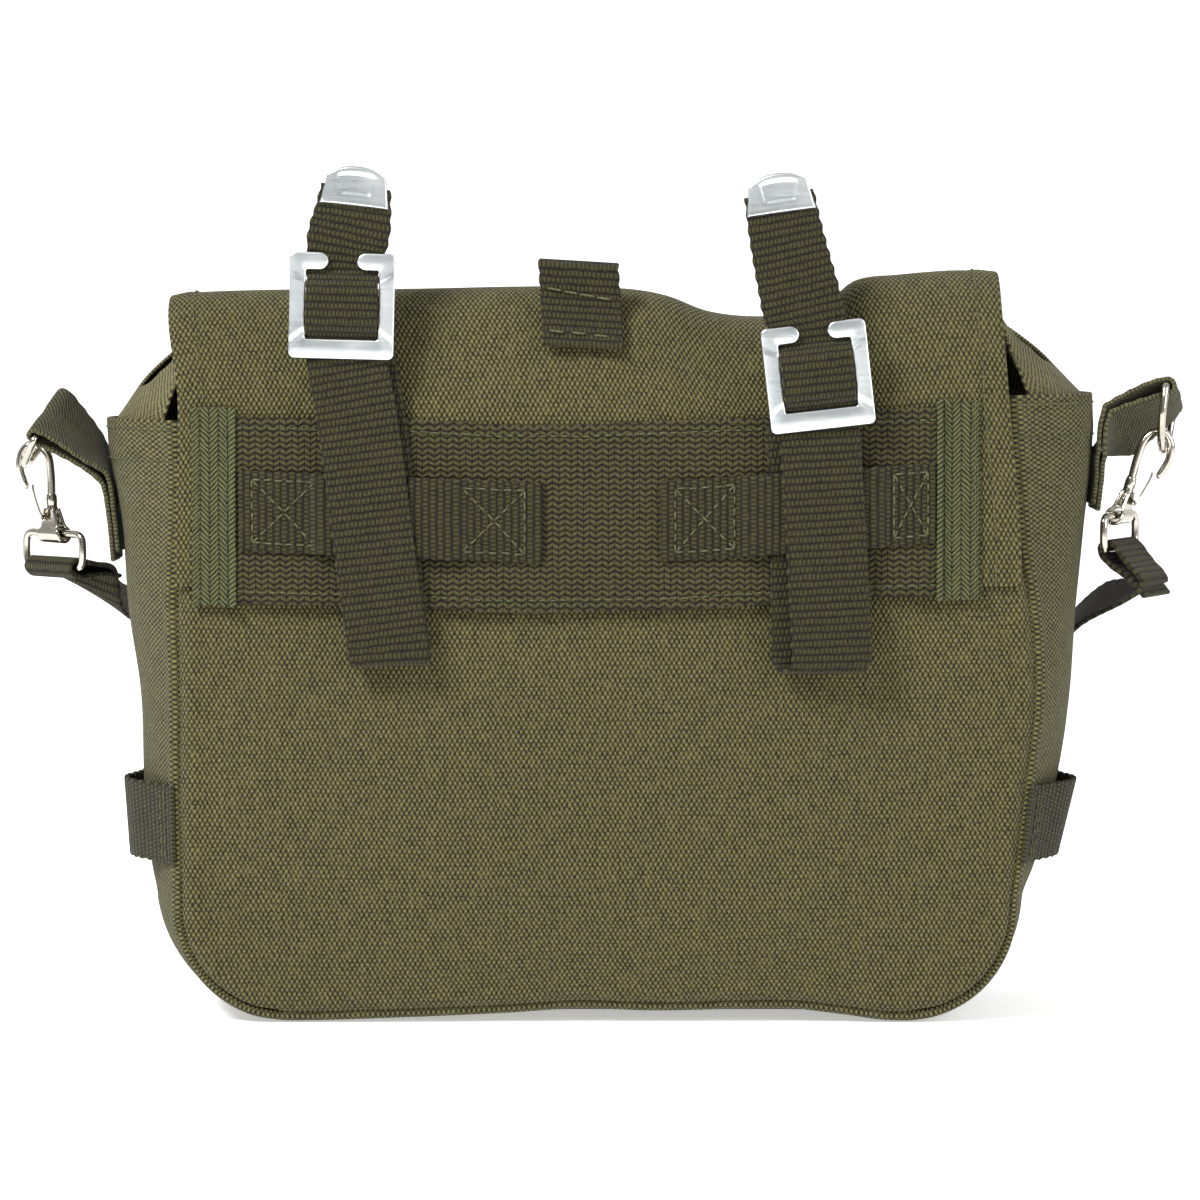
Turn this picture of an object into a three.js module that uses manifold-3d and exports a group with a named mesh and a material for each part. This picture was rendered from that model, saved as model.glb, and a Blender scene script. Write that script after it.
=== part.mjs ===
// A small canvas shoulder bag of army pattern, standing on its base.
// +X is to the right seen from the back of the bag, +Y runs from its back to its front, +Z is up.
// The origin is the centre of the base, on the surface that the bag stands on. Sizes are millimetres.

import * as THREE from "three";
import { mergeVertices } from "three/addons/utils/BufferGeometryUtils.js";
import Module from "manifold-3d";

const wasm = await Module();
wasm.setup();

// Driving sizes of the bag
const WIDTH = 270; // between the two back side seams, at the top
const DEPTH = 90; // from the back seams to the front seams
const HEIGHT = 240; // from the floor to the ridge of the flap
const CORNER_RADIUS = 34; // lower corners of the seams
const BASE_BULGE = 3; // the base hangs this far below its seams
const BASE_ARCH = 4.4; // the middle of the back lower edge is lifted by this
const ARCH_REACH = 36; // how far under the bag that lift reaches
const BACK_CROWN = 8; // how far the filled back swells out of its seams
const FRONT_CROWN = 10;

// Cloth and webbing
const CANVAS = 1.6;
const EAR_CLOTH = 1.2;
const TAPE_CLOTH = 0.9;
const WEBBING = 1.5;
const STRAP_WIDTH = 25;
const BAND_THICK = 1.6;
const BAND_HEIGHT = 59.5;
const TAPE_WIDTH = 12.5;
const GAP = 0.3; // between pieces that touch
const CLOTH_GAP = 0.65; // between layers of loose cloth

// Metal
const BUCKLE = {
  width: STRAP_WIDTH + 8.8,
  height: 34,
  sheet: 1.8,
  corner: 2,
  bar: 5.2, // width of the side bars
  foot: 6.3, // height of the bottom bar
  mouth: 9.3, // between the two prongs
  prong: 5.6, // height of a prong
  cross: 2.6, // height of the hidden middle bar
  step: 1.5, // how far the middle bar lies behind the frame
};
const TIP = { width: 0.9 * STRAP_WIDTH, height: 13, sheet: 0.8, grip: 6 };
const D_WIRE = 2.6;
const D_INNER = STRAP_WIDTH + 1;
const D_DROP = 19;
const D_CORNER = 2.5;
const RING = { inner: STRAP_WIDTH + 0.4, drop: 8.6, wire: 2.6, corner: 3 };
const HOOK = {
  wire: 2.8,
  reach: 31, // from the barrel to the top of the arch
  mouth: 9.4, // from the shank to the nose
  barrel: 9.5,
  barrelRadius: 3.6,
  sleeve: 3.8,
  sleeveLength: 11,
};
const NOSE_END = 0.82; // where the hook's nose ends, as a share of its mouth
const GATE = { length: 11.8, width: 4, sheet: 0.9 };

// Straps
const TAB_LENGTH = 27; // top tab, from its fold to its lower end
const SIDE_TAB_STAND = 5; // how far a side tab stands off the gusset
const TRAIL = 235; // how far the shoulder strap trails behind the bag

// The sides, from the hem down to the lower corners. up is a share of HEIGHT, left and right are
// where the seams are as shares of half of WIDTH, and the bulges are shares of DEPTH.
const SIDES = [
  { up: 0.154, left: 0.993, right: 1.022, bulgeLeft: 0.122, bulgeRight: 0.072 },
  { up: 0.208, left: 0.991, right: 1.03, bulgeLeft: 0.15, bulgeRight: 0.111 },
  { up: 0.321, left: 0.994, right: 1.052, bulgeLeft: 0.169, bulgeRight: 0.156 },
  { up: 0.446, left: 0.993, right: 1.076, bulgeLeft: 0.183, bulgeRight: 0.17 },
  { up: 0.567, left: 0.996, right: 1.063, bulgeLeft: 0.222, bulgeRight: 0.208 },
  { up: 0.667, left: 0.987, right: 1.028, bulgeLeft: 0.256, bulgeRight: 0.289 },
  { up: 0.767, left: 0.98, right: 1.01, bulgeLeft: 0.304, bulgeRight: 0.344 },
  { up: 0.854, left: 0.982, right: 1.0, bulgeLeft: 0.316, bulgeRight: 0.353 },
];
const HEM = { left: 0.82, right: 0.854 }; // shares of HEIGHT

// The lift of the back lower edge: across is a share of half of WIDTH, lift a share of BASE_ARCH.
const ARCH = [
  { across: -0.72, lift: 0 },
  { across: -0.45, lift: 0.25 },
  { across: -0.21, lift: 0.61 },
  { across: -0.03, lift: 1 },
  { across: 0.16, lift: 0.82 },
  { across: 0.48, lift: 1 },
  { across: 0.61, lift: 0.52 },
  { across: 0.74, lift: 0 },
];

// How full the filled panels are: up is a share of HEIGHT, full a share of the crown.
const FULLNESS = [
  { up: 0, full: 0 },
  { up: 0.1, full: 0.5 },
  { up: 0.25, full: 0.85 },
  { up: 0.45, full: 1 },
  { up: 0.65, full: 0.85 },
  { up: 0.85, full: 0.6 },
  { up: 1, full: 0.5 },
];

// Dents and folds of the back: places and sizes as shares of half of WIDTH and of HEIGHT, the depth
// as a share of BACK_CROWN. A negative depth is a ridge.
const DENTS = [
  { name: "below the right strap", across: 0.66, up: 0.42, wide: 0.2, tall: 0.14, depth: 0.3 },
  { name: "lower left", across: -0.72, up: 0.17, wide: 0.2, tall: 0.1, depth: 0.3 },
  { name: "lower right", across: 0.72, up: 0.2, wide: 0.18, tall: 0.12, depth: 0.25 },
  { name: "middle", across: 0.1, up: 0.3, wide: 0.3, tall: 0.12, depth: 0.2 },
  { name: "left of the top tab", across: -0.2, up: 0.92, wide: 0.14, tall: 0.06, depth: 0.25 },
  { name: "right of the top tab", across: 0.17, up: 0.92, wide: 0.14, tall: 0.06, depth: 0.3 },
];

// The ridge of the flap: across is a share of half of WIDTH, up a share of HEIGHT.
const RIDGE = [
  { across: -1.05, up: 0.975 },
  { across: -0.94, up: 0.985 },
  { across: -0.45, up: 0.99 },
  { across: -0.12, up: 0.994 },
  { across: 0.1, up: 0.99 },
  { across: 0.2, up: 0.98 },
  { across: 0.3, up: 0.958 },
  { across: 0.41, up: 0.95 },
  { across: 0.52, up: 0.956 },
  { across: 0.6, up: 0.975 },
  { across: 0.66, up: 1.002 },
  { across: 0.76, up: 1.01 },
  { across: 0.92, up: 1.016 },
  { across: 1.05, up: 1.01 },
];

// The flap's way round the bag, from its seam on the back to its front edge. back is the share of
// DEPTH from back to front, rise the share of the height between its lower edge and the ridge.
const FLAP_LOW = { back: 0.6, front: 0.28 }; // lower edges, shares of HEIGHT
const FLAP_WAY = [
  { back: 0, rise: 0 },
  { back: 0, rise: 0.25 },
  { back: 0, rise: 0.5 },
  { back: 0.008, rise: 0.68 },
  { back: 0.045, rise: 0.83 },
  { back: 0.11, rise: 0.94 },
  { back: 0.2, rise: 0.995 },
  { back: 0.32, rise: 0.995 },
  { back: 0.5, rise: 0.965 },
  { back: 0.7, rise: 0.93 },
  { back: 0.85, rise: 0.915 },
  { back: 0.95, rise: 0.885 },
  { back: 0.99, rise: 0.85 },
  { back: 1, rise: 0.8 },
  { back: 1, rise: 0.5 },
  { back: 1, rise: 0.25 },
  { back: 1, rise: 0 },
];
const FLAP_OVER = 8; // index of the first row that rises from the front edge instead
const FLAP_EDGES = [
  { up: 0.28, left: -0.985, right: 0.985 },
  { up: 0.62, left: -0.994, right: 1.033 },
  { up: 0.86, left: -0.985, right: 0.999 },
  { up: 1, left: -1.015, right: 0.985 },
];

// The band, with up and across as shares of HEIGHT and of half of WIDTH
const BAND = [
  { across: -0.858, up: 0.703 },
  { across: 0, up: 0.692 },
  { across: 0.84, up: 0.713 },
];

// Layers on the back, as distances from the back panel's outer face to the middle of each cloth
const ON_FLAP = CLOTH_GAP + CANVAS + GAP;
const BAND_OUT = ON_FLAP + BAND_THICK / 2;
const TAPE_OUT = ON_FLAP + TAPE_CLOTH / 2;
const ON_BAND = ON_FLAP + BAND_THICK + GAP;
const LOOP_END_OUT = ON_BAND + WEBBING / 2;
const REAR_OUT = ON_BAND + GAP + WEBBING / 2;
const LOOP_OUT = REAR_OUT + WEBBING + GAP;
const FRONT_OUT = LOOP_OUT + WEBBING + 2 * GAP;
const BUCKLE_OUT = FRONT_OUT + WEBBING / 2 + 2 * GAP; // the back face of a buckle's sheet

// Belt loops: ends as shares of half of WIDTH, heights of HEIGHT, and the sewn lengths in
// strap widths
const BELT_LOOPS = {
  left: { from: -0.835, to: -0.116, upFrom: 0.702, upTo: 0.686, sewnFrom: 0.88, sewnTo: 0.95 },
  right: { from: 0.172, to: 0.822, upFrom: 0.688, upTo: 0.712, sewnFrom: 1.0, sewnTo: 0.6 },
};

// Equipment straps: axis is the line of the strap seen from the back, with across and up as
// shares of half of WIDTH and of HEIGHT. shift is how far the rear layer lies to one side.
const STRAPS = {
  left: {
    foot: 0.497,
    top: 1.134,
    buckle: { across: -0.588, up: 0.977, turn: -1.5 },
    shiftLow: 0.5,
    shiftHigh: 2.4,
    axis: [
      { up: 0.49, across: -0.479 },
      { up: 0.573, across: -0.496 },
      { up: 0.82, across: -0.552 },
      { up: 0.93, across: -0.585 },
      { up: 1.03, across: -0.586 },
      { up: 1.1, across: -0.562 },
      { up: 1.19, across: -0.548 },
    ],
  },
  right: {
    foot: 0.487,
    top: 1.125,
    buckle: { across: 0.542, up: 0.883, turn: 6.5 },
    shiftLow: -6.5,
    shiftHigh: -4,
    axis: [
      { up: 0.48, across: 0.578 },
      { up: 0.6, across: 0.57 },
      { up: 0.8, across: 0.549 },
      { up: 0.88, across: 0.541 },
      { up: 0.95, across: 0.515 },
      { up: 1.1, across: 0.456 },
      { up: 1.19, across: 0.44 },
    ],
  },
};

// The side hardware. lean is the hook's angle in degrees and ringTurn the ring's about the
// vertical. Levels are shares of HEIGHT, reach is from the gusset to the D-ring's bar, bar and bow
// point along that bar and to its round end, and the seat is where that end hangs in the hook, as
// shares of HOOK.reach and HOOK.mouth. The strap leaves its ring at dip degrees below the level, to
// the side that leaves names.
const HARDWARE = {
  left: {
    loopLow: 0.625,
    loopHigh: 0.75,
    barUp: 0.822,
    reach: 20.5,
    lean: 5,
    bar: [0.3, 0.8, 0.52],
    bow: [-0.34, 0.6, -0.66],
    seat: [0.85, 0.46],
    ringTurn: -42,
    dip: 12,
    leaves: 1,
  },
  right: {
    loopLow: 0.695,
    loopHigh: 0.78,
    barUp: 0.85,
    reach: 26.3,
    lean: 19,
    bar: [0.2, 0.93, -0.3],
    bow: [-0.1, 0, -1],
    seat: [0.8, 0.66],
    ringTurn: 62,
    dip: 50,
    leaves: -1,
  },
};

// The shoulder strap from the left ring behind the bag to the right ring: across and up as shares
// of half of WIDTH and of HEIGHT, back as a share of TRAIL from the bag's middle, and tilt as the
// angle in degrees of the strap's width out of the level.
const TRAIL_WAY = [
  { across: -1.26, back: 0.1, up: 0.577, tilt: 22 },
  { across: -1.2, back: 0.22, up: 0.55, tilt: 48 },
  { across: -1.1, back: 0.34, up: 0.47, tilt: 66 },
  { across: -0.99, back: 0.47, up: 0.33, tilt: 80 },
  { across: -0.9, back: 0.6, up: 0.17, tilt: 88 },
  { across: -0.78, back: 0.75, up: 0.077, tilt: 90 },
  { across: -0.55, back: 0.9, up: 0.0565, tilt: 90 },
  { across: -0.25, back: 0.98, up: 0.0545, tilt: 90 },
  { across: 0.1, back: 1, up: 0.0545, tilt: 90 },
  { across: 0.42, back: 0.95, up: 0.0545, tilt: 90 },
  { across: 0.7, back: 0.82, up: 0.057, tilt: 90 },
  { across: 0.88, back: 0.66, up: 0.09, tilt: 88 },
  { across: 1.0, back: 0.5, up: 0.2, tilt: 82 },
  { across: 1.09, back: 0.36, up: 0.35, tilt: 72 },
  { across: 1.18, back: 0.22, up: 0.47, tilt: 60 },
  { across: 1.26, back: 0.1, up: 0.55, tilt: 45 },
];

const colours = {
  canvas: 0x6e6a40,
  ear: 0x7a7548,
  webbing: 0x4a4432,
  band: 0x4c4638,
  tape: 0x54603c,
  loop: 0x585846,
  aluminium: 0xc8cacb,
  nickel: 0xb9b6ac,
};

const V = (x, y, z) => new THREE.Vector3(x, y, z);
const HALF = WIDTH / 2;
const clamp = THREE.MathUtils.clamp;
const lerp = THREE.MathUtils.lerp;
const radians = THREE.MathUtils.degToRad;
const range = (count) => Array.from({ length: count }, (_, i) => i);
const shares = (count) => range(count + 1).map((i) => i / count);

// A smooth curve through one column of a table, held level beyond its ends.
function column(rows, by, name) {
  const slope = (i) => {
    if (i === 0 || i === rows.length - 1) return 0;
    return (rows[i + 1][name] - rows[i - 1][name]) / (rows[i + 1][by] - rows[i - 1][by]);
  };
  return (at) => {
    if (at <= rows[0][by]) return rows[0][name];
    if (at >= rows[rows.length - 1][by]) return rows[rows.length - 1][name];
    const i = rows.findIndex((row) => row[by] > at) - 1;
    const span = rows[i + 1][by] - rows[i][by];
    const t = (at - rows[i][by]) / span;
    const t2 = t * t;
    const t3 = t2 * t;
    return (
      (2 * t3 - 3 * t2 + 1) * rows[i][name] +
      (t3 - 2 * t2 + t) * span * slope(i) +
      (3 * t2 - 2 * t3) * rows[i + 1][name] +
      (t3 - t2) * span * slope(i + 1)
    );
  };
}

const seamLeft = column(SIDES, "up", "left");
const seamRight = column(SIDES, "up", "right");
const bulgeLeft = column(SIDES, "up", "bulgeLeft");
const bulgeRight = column(SIDES, "up", "bulgeRight");
const archShare = column(ARCH, "across", "lift");
const fullness = column(FULLNESS, "up", "full");
const ridgeShare = column(RIDGE, "across", "up");
const flapLeft = column(FLAP_EDGES, "up", "left");
const flapRight = column(FLAP_EDGES, "up", "right");
const bandUp = column(BAND, "across", "up");

const cornerTop = BASE_BULGE + CORNER_RADIUS;
const sign = (side) => (side === "left" ? -1 : 1);

// Where a side seam is at height z, drawn in by inset. Below the corner it is an arc.
function seamX(side, z, inset) {
  const share = side === "left" ? seamLeft : seamRight;
  const outer = HALF * share(Math.max(z, cornerTop) / HEIGHT);
  if (z >= cornerTop) return sign(side) * (outer - inset);
  const reach = CORNER_RADIUS - inset;
  const down = Math.min(cornerTop - z, reach);
  return sign(side) * (outer - CORNER_RADIUS + Math.sqrt(reach * reach - down * down));
}

function sideBulge(side, z) {
  const share = side === "left" ? bulgeLeft : bulgeRight;
  return DEPTH * share(z / HEIGHT);
}

// The lift of the lower back edge at a point.
function archLift(x, y, z) {
  const under = clamp((y + DEPTH / 2) / ARCH_REACH, 0, 1);
  const low = clamp(1 - z / cornerTop, 0, 1);
  return BASE_ARCH * archShare(x / HALF) * Math.cos((under * Math.PI) / 2) ** 2 * low;
}

// How far the back panel's outer face stands out of the plane of its seams.
function backSwell(x, z) {
  const left = seamX("left", z, 0);
  const right = seamX("right", z, 0);
  const across = clamp((2 * x - left - right) / (right - left), -1, 1);
  const round = 1 - Math.abs(across) ** 3;
  let swell = BACK_CROWN * fullness(z / HEIGHT);
  for (const dent of DENTS) {
    const a = (x / HALF - dent.across) / dent.wide;
    const b = (z / HEIGHT - dent.up) / dent.tall;
    swell -= BACK_CROWN * dent.depth * Math.exp(-a * a - b * b);
  }
  return Math.max(0, swell) * round;
}

function frontSwell(x, z) {
  const left = seamX("left", z, 0);
  const right = seamX("right", z, 0);
  const across = clamp((2 * x - left - right) / (right - left), -1, 1);
  return FRONT_CROWN * fullness(z / HEIGHT) * (1 - Math.abs(across) ** 3);
}

// A point on the back, out millimetres in front of the back panel's face.
const onBack = (x, z, out) => V(x, -DEPTH / 2 - backSwell(x, Math.min(z, HEIGHT)) - out, z);

// Meshes
const group = new THREE.Group();
function addMesh(name, geometry, colour, roughness, metalness = 0) {
  const material = new THREE.MeshStandardMaterial({ color: colour, roughness, metalness });
  const mesh = new THREE.Mesh(geometry, material);
  mesh.name = name;
  group.add(mesh);
  return mesh;
}

// A sheet of cloth between two grids of points, closed round its rim. face(u, v) and
// reverse(u, v) give its two faces.
function sheet(us, vs, face, reverse) {
  const columns = us.length;
  const points = [];
  for (const surface of [face, reverse]) {
    for (const v of vs) {
      for (const u of us) points.push(...surface(u, v).toArray());
    }
  }
  const at = (i, j, k) => k * columns * vs.length + j * columns + i;
  const faces = [];
  const quad = (a, b, c, d) => faces.push(a, b, c, a, c, d);
  for (let j = 0; j < vs.length - 1; j++) {
    for (let i = 0; i < columns - 1; i++) {
      quad(at(i, j, 0), at(i + 1, j, 0), at(i + 1, j + 1, 0), at(i, j + 1, 0));
      quad(at(i, j, 1), at(i, j + 1, 1), at(i + 1, j + 1, 1), at(i + 1, j, 1));
    }
  }
  const last = { i: columns - 1, j: vs.length - 1 };
  for (let i = 0; i < last.i; i++) {
    quad(at(i, 0, 0), at(i, 0, 1), at(i + 1, 0, 1), at(i + 1, 0, 0));
    quad(at(i, last.j, 0), at(i + 1, last.j, 0), at(i + 1, last.j, 1), at(i, last.j, 1));
  }
  for (let j = 0; j < last.j; j++) {
    quad(at(0, j, 0), at(0, j + 1, 0), at(0, j + 1, 1), at(0, j, 1));
    quad(at(last.i, j, 0), at(last.i, j, 1), at(last.i, j + 1, 1), at(last.i, j + 1, 0));
  }
  const geometry = new THREE.BufferGeometry();
  geometry.setAttribute("position", new THREE.Float32BufferAttribute(points, 3));
  geometry.setIndex(faces);
  return geometry;
}

// A strap: stations hold its middle (at), the direction of its width (across) and may hold
// squeeze, a share of the full width. Each stretch between two stations is cut into per steps.
function strap(stations, width, thick, per) {
  const way = new THREE.CatmullRomCurve3(stations.map((s) => s.at), false, "centripetal");
  const acrossAt = (v) => {
    const p = v * (stations.length - 1);
    const i = Math.min(Math.floor(p), stations.length - 2);
    return stations[i].across.clone().lerp(stations[i + 1].across, p - i).normalize();
  };
  const frame = (v) => {
    const ahead = way.getPoint(Math.min(v + 1e-4, 1));
    const tangent = ahead.sub(way.getPoint(Math.max(v - 1e-4, 0))).normalize();
    const across = acrossAt(v);
    const out = V(0, 0, 0).crossVectors(across, tangent).normalize();
    return { middle: way.getPoint(v), across, out };
  };
  const widthAt = (v) => {
    const p = v * (stations.length - 1);
    const i = Math.min(Math.floor(p), stations.length - 2);
    return width * lerp(stations[i].squeeze ?? 1, stations[i + 1].squeeze ?? 1, p - i);
  };
  const place = (u, v, offset) => {
    const { middle, across, out } = frame(v);
    return middle.addScaledVector(across, (u - 0.5) * widthAt(v)).addScaledVector(out, offset);
  };
  const vs = shares(per * (stations.length - 1));
  const face = (u, v) => place(u, v, thick / 2);
  const reverse = (u, v) => place(u, v, -thick / 2);
  return sheet([0, 1], vs, face, reverse);
}

// Solids for joining and cutting
function solid(geometry) {
  const bare = geometry.clone();
  bare.deleteAttribute("normal");
  bare.deleteAttribute("uv");
  const merged = mergeVertices(bare, 1e-3);
  const numProp = 3;
  const vertProperties = new Float32Array(merged.attributes.position.array);
  const triVerts = new Uint32Array(merged.index.array);
  return new wasm.Manifold(new wasm.Mesh({ numProp, vertProperties, triVerts }));
}

function fromSolid(body) {
  const mesh = body.getMesh();
  const geometry = new THREE.BufferGeometry();
  geometry.setAttribute("position", new THREE.BufferAttribute(mesh.vertProperties, 3));
  geometry.setIndex(new THREE.BufferAttribute(mesh.triVerts, 1));
  return geometry;
}

// A wire of round section along points, with sides faces.
function wire(points, diameter, sides, steps, closed = false) {
  const way = new THREE.CatmullRomCurve3(points, closed, "centripetal");
  const section = new THREE.Shape();
  for (const i of range(sides)) {
    const angle = (2 * Math.PI * (i + 0.5)) / sides;
    const reach = diameter / 2 / Math.cos(Math.PI / sides);
    const move = i === 0 ? "moveTo" : "lineTo";
    section[move](reach * Math.cos(angle), reach * Math.sin(angle));
  }
  return new THREE.ExtrudeGeometry(section, { steps, bevelEnabled: false, extrudePath: way });
}

// The gusset
const gussetWay = [];
for (const side of ["left", "right"]) {
  const hem = HEIGHT * HEM[side];
  const run = shares(9).map((t) => {
    const z = lerp(hem, cornerTop, t);
    const at = V(seamX(side, z, 0), 0, z);
    return { at, out: V(sign(side), 0, 0), bulge: sideBulge(side, z), flat: 0 };
  });
  const sideAtCorner = sideBulge(side, cornerTop);
  const turn = shares(7).slice(1).map((t) => {
    const angle = (t * Math.PI) / 2;
    const out = V(sign(side) * Math.cos(angle), 0, -Math.sin(angle));
    const centre = V(seamX(side, cornerTop, CORNER_RADIUS), 0, cornerTop);
    const bulge = lerp(BASE_BULGE, sideAtCorner, (1 - t) ** 2);
    return { at: centre.addScaledVector(out, CORNER_RADIUS), out, bulge, flat: 0.8 * t };
  });
  if (side === "left") {
    gussetWay.push(...run, ...turn);
    const from = seamX("left", cornerTop, CORNER_RADIUS);
    const to = seamX("right", cornerTop, CORNER_RADIUS);
    for (const t of shares(9).slice(1, -1)) {
      const at = V(lerp(from, to, t), 0, BASE_BULGE);
      gussetWay.push({ at, out: V(0, 0, -1), bulge: BASE_BULGE, flat: 0.8 });
    }
  } else {
    gussetWay.push(...[...run, ...turn].reverse());
  }
}

// A point of the gusset: t runs from -1 at the back seam to 1 at the front seam.
function gussetPoint(station, t, inset) {
  const curve = Math.max(0, Math.abs(t) - station.flat) / (1 - station.flat);
  const point = station.at.clone();
  point.addScaledVector(station.out, station.bulge * (1 - curve * curve) - inset);
  point.y = (t * DEPTH) / 2;
  point.z += archLift(point.x, point.y, point.z);
  return point;
}

// The gusset's outer face beside height z, at t from back to front, stood off by out.
function onGusset(side, z, t, out) {
  const bulge = sideBulge(side, z) * (1 - t * t);
  return V(seamX(side, z, 0) + sign(side) * (bulge + out), (t * DEPTH) / 2, z);
}

function makeGusset() {
  const us = range(gussetWay.length);
  const vs = shares(10).map((t) => lerp(-1, 1, t));
  const face = (u, v) => gussetPoint(gussetWay[u], v, 0);
  const reverse = (u, v) => gussetPoint(gussetWay[u], v, CANVAS);
  addMesh("gusset", sheet(us, vs, reverse, face), colours.canvas, 0.95);
}

function makePanels() {
  const inset = CANVAS + 3 * GAP;
  const low = BASE_BULGE + inset;
  const top = HEIGHT * HEM.left;
  const us = shares(15);
  const vs = shares(12).map((t) => t ** 1.3);
  const place = (u, v) => {
    const z = lerp(low, top, v);
    const x = lerp(seamX("left", z, inset), seamX("right", z, inset), u);
    return { x, z };
  };
  const back = (depth) => (u, v) => {
    const { x, z } = place(u, v);
    const y = -DEPTH / 2 - backSwell(x, z) + depth;
    return V(x, y, z + archLift(x, -DEPTH / 2, z));
  };
  const front = (depth) => (u, v) => {
    const { x, z } = place(u, v);
    return V(x, DEPTH / 2 + frontSwell(x, z) - depth, z);
  };
  addMesh("back_panel", sheet(us, vs, back(0), back(CANVAS)), colours.canvas, 0.95);
  addMesh("front_panel", sheet(us, vs, front(CANVAS), front(0)), colours.canvas, 0.95);
}

// The flap's middle line at share v of its way, for share u across.
const flapWay = FLAP_WAY.map((row, i) => ({ ...row, i }));
const flapBack = column(flapWay, "i", "back");
const flapRise = column(flapWay, "i", "rise");
function flapPoint(u, v) {
  const station = v * (FLAP_WAY.length - 1);
  const low = HEIGHT * (station < FLAP_OVER ? FLAP_LOW.back : FLAP_LOW.front);
  const guess = lerp(-HALF, HALF, u);
  const level = lerp(low, HEIGHT, flapRise(station)) / HEIGHT;
  const x = lerp(HALF * flapLeft(level), HALF * flapRight(level), u);
  const ridge = HEIGHT * ridgeShare(guess / HALF);
  const over = flapBack(station);
  const soften = lerp(HEIGHT, ridge, clamp(1.25 - over, 0, 1));
  const backSide = lerp(HEIGHT * FLAP_LOW.back, soften, flapRise(station));
  const frontSide = lerp(HEIGHT * FLAP_LOW.front, soften, flapRise(station));
  const share = clamp(station - FLAP_OVER + 0.5, 0, 1);
  const z = over < 0.5 ? backSide : lerp(backSide, frontSide, share);
  const swell = lerp(-backSwell(x, Math.min(z, HEIGHT)), frontSwell(x, z), over);
  return V(x, lerp(-DEPTH / 2, DEPTH / 2, over) + swell, z);
}

// The flap's cloth, out millimetres off its middle line.
function flapFace(u, v, out) {
  const step = 2e-3;
  const along = flapPoint(u, Math.min(v + step, 1)).sub(flapPoint(u, Math.max(v - step, 0)));
  const normal = V(0, -along.z, along.y).normalize();
  return flapPoint(u, v).addScaledVector(normal, out);
}

function makeFlap() {
  const us = shares(15);
  const vs = shares(27);
  const face = (u, v) => flapFace(u, v, CLOTH_GAP + CANVAS);
  const reverse = (u, v) => flapFace(u, v, CLOTH_GAP);
  addMesh("flap", sheet(us, vs, face, reverse), colours.canvas, 0.95);
}

// Thin cloth above the hem: it leans in under the flap and stands highest at its corners. dip is
// how much lower its rim is on the back half than on the front half, as a share of HEIGHT.
const EARS = {
  left: { low: 0.74, rimMiddle: 0.858, rimCorner: 0.9, dip: 0.04, lean: 0.3, leanCorner: 0.9 },
  right: { low: 0.77, rimMiddle: 0.893, rimCorner: 0.962, dip: 0.03, lean: 0.36, leanCorner: 0.9 },
};
function makeEar(side) {
  const ear = EARS[side];
  const us = shares(8).map((t) => lerp(-1, 1, t));
  const vs = shares(7);
  const hem = HEIGHT * HEM[side];
  const place = (inset) => (u, v) => {
    const corner = Math.abs(u) ** 1.6;
    const dip = ear.dip * u * (1 - u * u);
    const rim = HEIGHT * (lerp(ear.rimMiddle, ear.rimCorner, corner) + dip);
    const z = lerp(HEIGHT * ear.low, rim, v);
    const above = clamp((z - hem) / (rim - hem), 0, 1);
    const t = u * 0.8;
    const bulge = sideBulge(side, Math.min(z, hem));
    const out = bulge * (1 - t * t) * (1 - above * lerp(ear.lean, ear.leanCorner, corner) * 0.8);
    const x = seamX(side, Math.min(z, hem), 0) + sign(side) * (out - CANVAS - 2 * CLOTH_GAP - inset);
    return V(x, (t * DEPTH) / 2, z);
  };
  const faces = [place(0), place(EAR_CLOTH)];
  if (side === "left") faces.reverse();
  addMesh("storm_ear_" + side, sheet(us, vs, ...faces), colours.ear, 0.95);
}

// A flat patch on the back between two heights given as functions of x.
function backPatch(xs, lowAt, highAt, out, thick, rows) {
  const place = (offset) => (u, v) => onBack(u, lerp(lowAt(u), highAt(u), v), out + offset);
  return sheet(xs, shares(rows), place(thick / 2), place(-thick / 2));
}

function makeBand() {
  const from = HALF * BAND[0].across;
  const to = HALF * BAND[BAND.length - 1].across;
  const xs = shares(20).map((t) => lerp(from, to, t));
  const middle = (x) => HEIGHT * bandUp(x / HALF);
  const low = (x) => middle(x) - BAND_HEIGHT / 2;
  const high = (x) => middle(x) + BAND_HEIGHT / 2;
  addMesh("back_band", backPatch(xs, low, high, BAND_OUT, BAND_THICK, 3), colours.band, 0.95);
  for (const side of ["left", "right"]) {
    const near = side === "left" ? from - GAP - TAPE_WIDTH : to + GAP;
    const tapeXs = shares(3).map((t) => near + TAPE_WIDTH * t);
    const lowTape = (x) => low(x) - 1.5;
    const highTape = (x) => high(x) + 3;
    const tape = backPatch(tapeXs, lowTape, highTape, TAPE_OUT, TAPE_CLOTH, 4);
    addMesh("band_tape_" + side, tape, colours.tape, 0.95);
  }
}

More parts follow.
